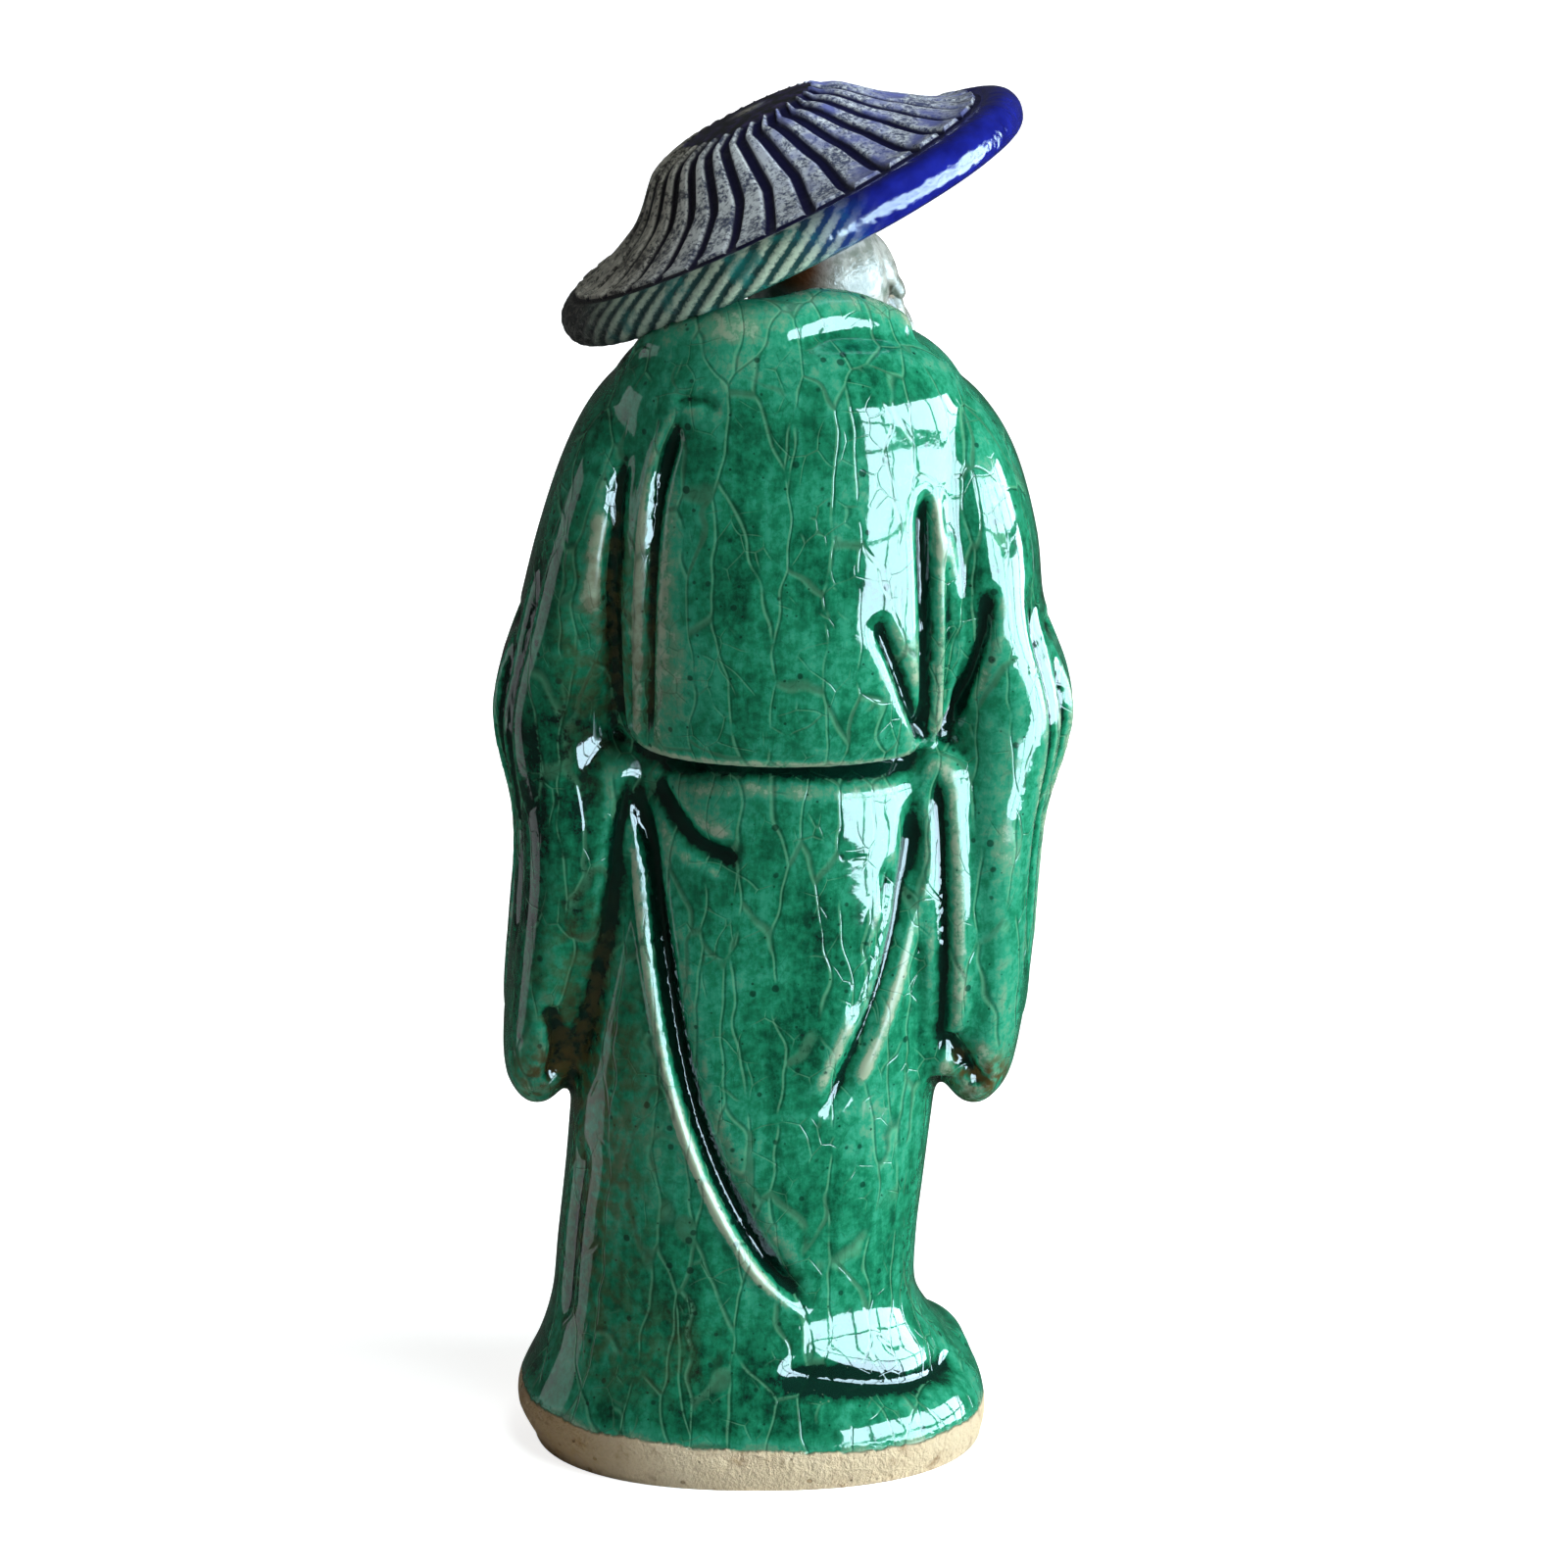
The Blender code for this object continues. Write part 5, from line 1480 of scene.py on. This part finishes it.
def add_panel(name, direction, distance, *lamp):
    """One soft light that faces the figure and shows in no reflection."""
    panel = add_lamp(name, *lamp)
    aimed(panel, Vector(LIGHT_TARGET) + Vector(direction).normalized() * distance, LIGHT_TARGET)
    panel.visible_glossy = False


def add_window(name, azimuth, elevation, distance, columns, rows, pane, gap, power, tint):
    """A window of bright panes that shows in reflections. Azimuth turns from +Y towards -X."""
    outward = Vector((-math.sin(azimuth) * math.cos(elevation),
                      math.cos(azimuth) * math.cos(elevation), math.sin(elevation)))
    turn = (-outward).to_track_quat("-Z", "Y")
    centre = Vector(LIGHT_TARGET) + outward * distance
    for column in range(columns):
        for row in range(rows):
            across = (column - (columns - 1) / 2) * (pane[0] + gap)
            up = (row - (rows - 1) / 2) * (pane[1] + gap)
            lamp = add_lamp(f"{name}_{column}_{row}", *pane, power, tint)
            lamp.location = centre + turn @ Vector((across, up, 0.0))
            lamp.rotation_euler = turn.to_euler()
            lamp.visible_diffuse = False


def add_world():
    """A dim even room, which the camera sees as white."""
    world = bpy.data.worlds.new("room")
    world.use_nodes = True
    bpy.context.scene.world = world
    tree = world.node_tree
    dim = tree.nodes["Background"]
    dim.inputs["Color"].default_value = ROOM_TINT
    dim.inputs["Strength"].default_value = ROOM_STRENGTH
    white = tree.nodes.new("ShaderNodeBackground")
    white.inputs["Color"].default_value = (1.0, 1.0, 1.0, 1.0)
    seen = tree.nodes.new("ShaderNodeLightPath")
    mix = tree.nodes.new("ShaderNodeMixShader")
    tree.links.new(seen.outputs["Is Camera Ray"], mix.inputs[0])
    tree.links.new(dim.outputs[0], mix.inputs[1])
    tree.links.new(white.outputs[0], mix.inputs[2])
    tree.links.new(mix.outputs[0], tree.nodes["World Output"].inputs["Surface"])


def add_floor():
    bm = bmesh.new()
    bmesh.ops.create_circle(bm, cap_ends=True, segments=96, radius=settings().stage.floor_radius)
    floor = new_piece("floor", bm)
    finish = Finish("floor")
    tone = finish.mix(finish.noise(60.0, 2.0), (0.86, 0.86, 0.86), (0.90, 0.90, 0.90))
    finish.finish(tone, 0.9, None)
    finish.shader.inputs["Specular IOR Level"].default_value = 0.2
    finish.feed(finish.shader.inputs["Emission Color"], (1.0, 1.0, 1.0, 1.0))
    seen = finish.tree.nodes.new("ShaderNodeLightPath").outputs["Is Camera Ray"]
    finish.feed(finish.shader.inputs["Emission Strength"], finish.times(seen, FLOOR_GLOW))
    floor.data.materials.append(finish.material)
    floor.visible_glossy = False


class MUDMAN_OT_robe(Operator):
    """Model the robe with its folds and foot, and glaze it green"""
    bl_idname = "mudman.robe"
    bl_label = "Robe"

    def execute(self, context):
        dress(make_robe(), robe_glaze())
        return {"FINISHED"}


class MUDMAN_OT_hat(Operator):
    """Model the ribbed hat with its rolled rim"""
    bl_idname = "mudman.hat"
    bl_label = "Hat"

    def execute(self, context):
        dress(make_hat(), hat_glaze())
        return {"FINISHED"}


class MUDMAN_OT_head(Operator):
    """Model the head with its face, hair, whiskers and beard"""
    bl_idname = "mudman.head"
    bl_label = "Head"

    def execute(self, context):
        dress(make_head(), head_glaze())
        return {"FINISHED"}


class MUDMAN_OT_stage(Operator):
    """Set up the floor, the soft lights and the camera"""
    bl_idname = "mudman.stage"
    bl_label = "Stage"

    def execute(self, context):
        add_camera()
        add_world()
        add_floor()
        for window in WINDOWS:
            add_window(*window)
        for panel in PANELS:
            add_panel(*panel)
        context.scene.view_settings.view_transform = "Standard"
        return {"FINISHED"}


class MUDMAN_PT_panel(Panel):
    """Lists the figurine's pieces and their sizes"""
    bl_idname = "MUDMAN_PT_panel"
    bl_label = "Mudman Figurine"
    bl_space_type = "VIEW_3D"
    bl_region_type = "UI"
    bl_category = "Figurine"

    def draw(self, context):
        layout = self.layout
        for operator in OPERATORS:
            layout.operator(operator.bl_idname)
        for pointer in MudmanSettings.__annotations__:
            group = getattr(settings(), pointer)
            box = layout.box()
            for name in group.__annotations__:
                box.prop(group, name)


OPERATORS = (MUDMAN_OT_robe, MUDMAN_OT_hat, MUDMAN_OT_head, MUDMAN_OT_stage)
GROUPS = (FigureSizes, HatSizes, GlazeColours, HatColours, HeadColours, StageSettings)
CLASSES = (*GROUPS, MudmanSettings, *OPERATORS, MUDMAN_PT_panel)


def register():
    for kind in CLASSES:
        bpy.utils.register_class(kind)
    bpy.types.Scene.mudman = PointerProperty(type=MudmanSettings)


def unregister():
    del bpy.types.Scene.mudman
    for kind in reversed(CLASSES):
        bpy.utils.unregister_class(kind)


def clear_startup():
    """Remove the cube, camera and lamp of a new Blender file, where there are any."""
    for thing in list(bpy.context.scene.collection.objects):
        if thing.type in ("CAMERA", "LIGHT") or thing.name == "Cube":
            bpy.data.objects.remove(thing, do_unlink=True)


def main():
    register()
    clear_startup()
    bpy.ops.mudman.robe()
    bpy.ops.mudman.hat()
    bpy.ops.mudman.head()
    bpy.ops.mudman.stage()


if __name__ == "__main__":
    main()
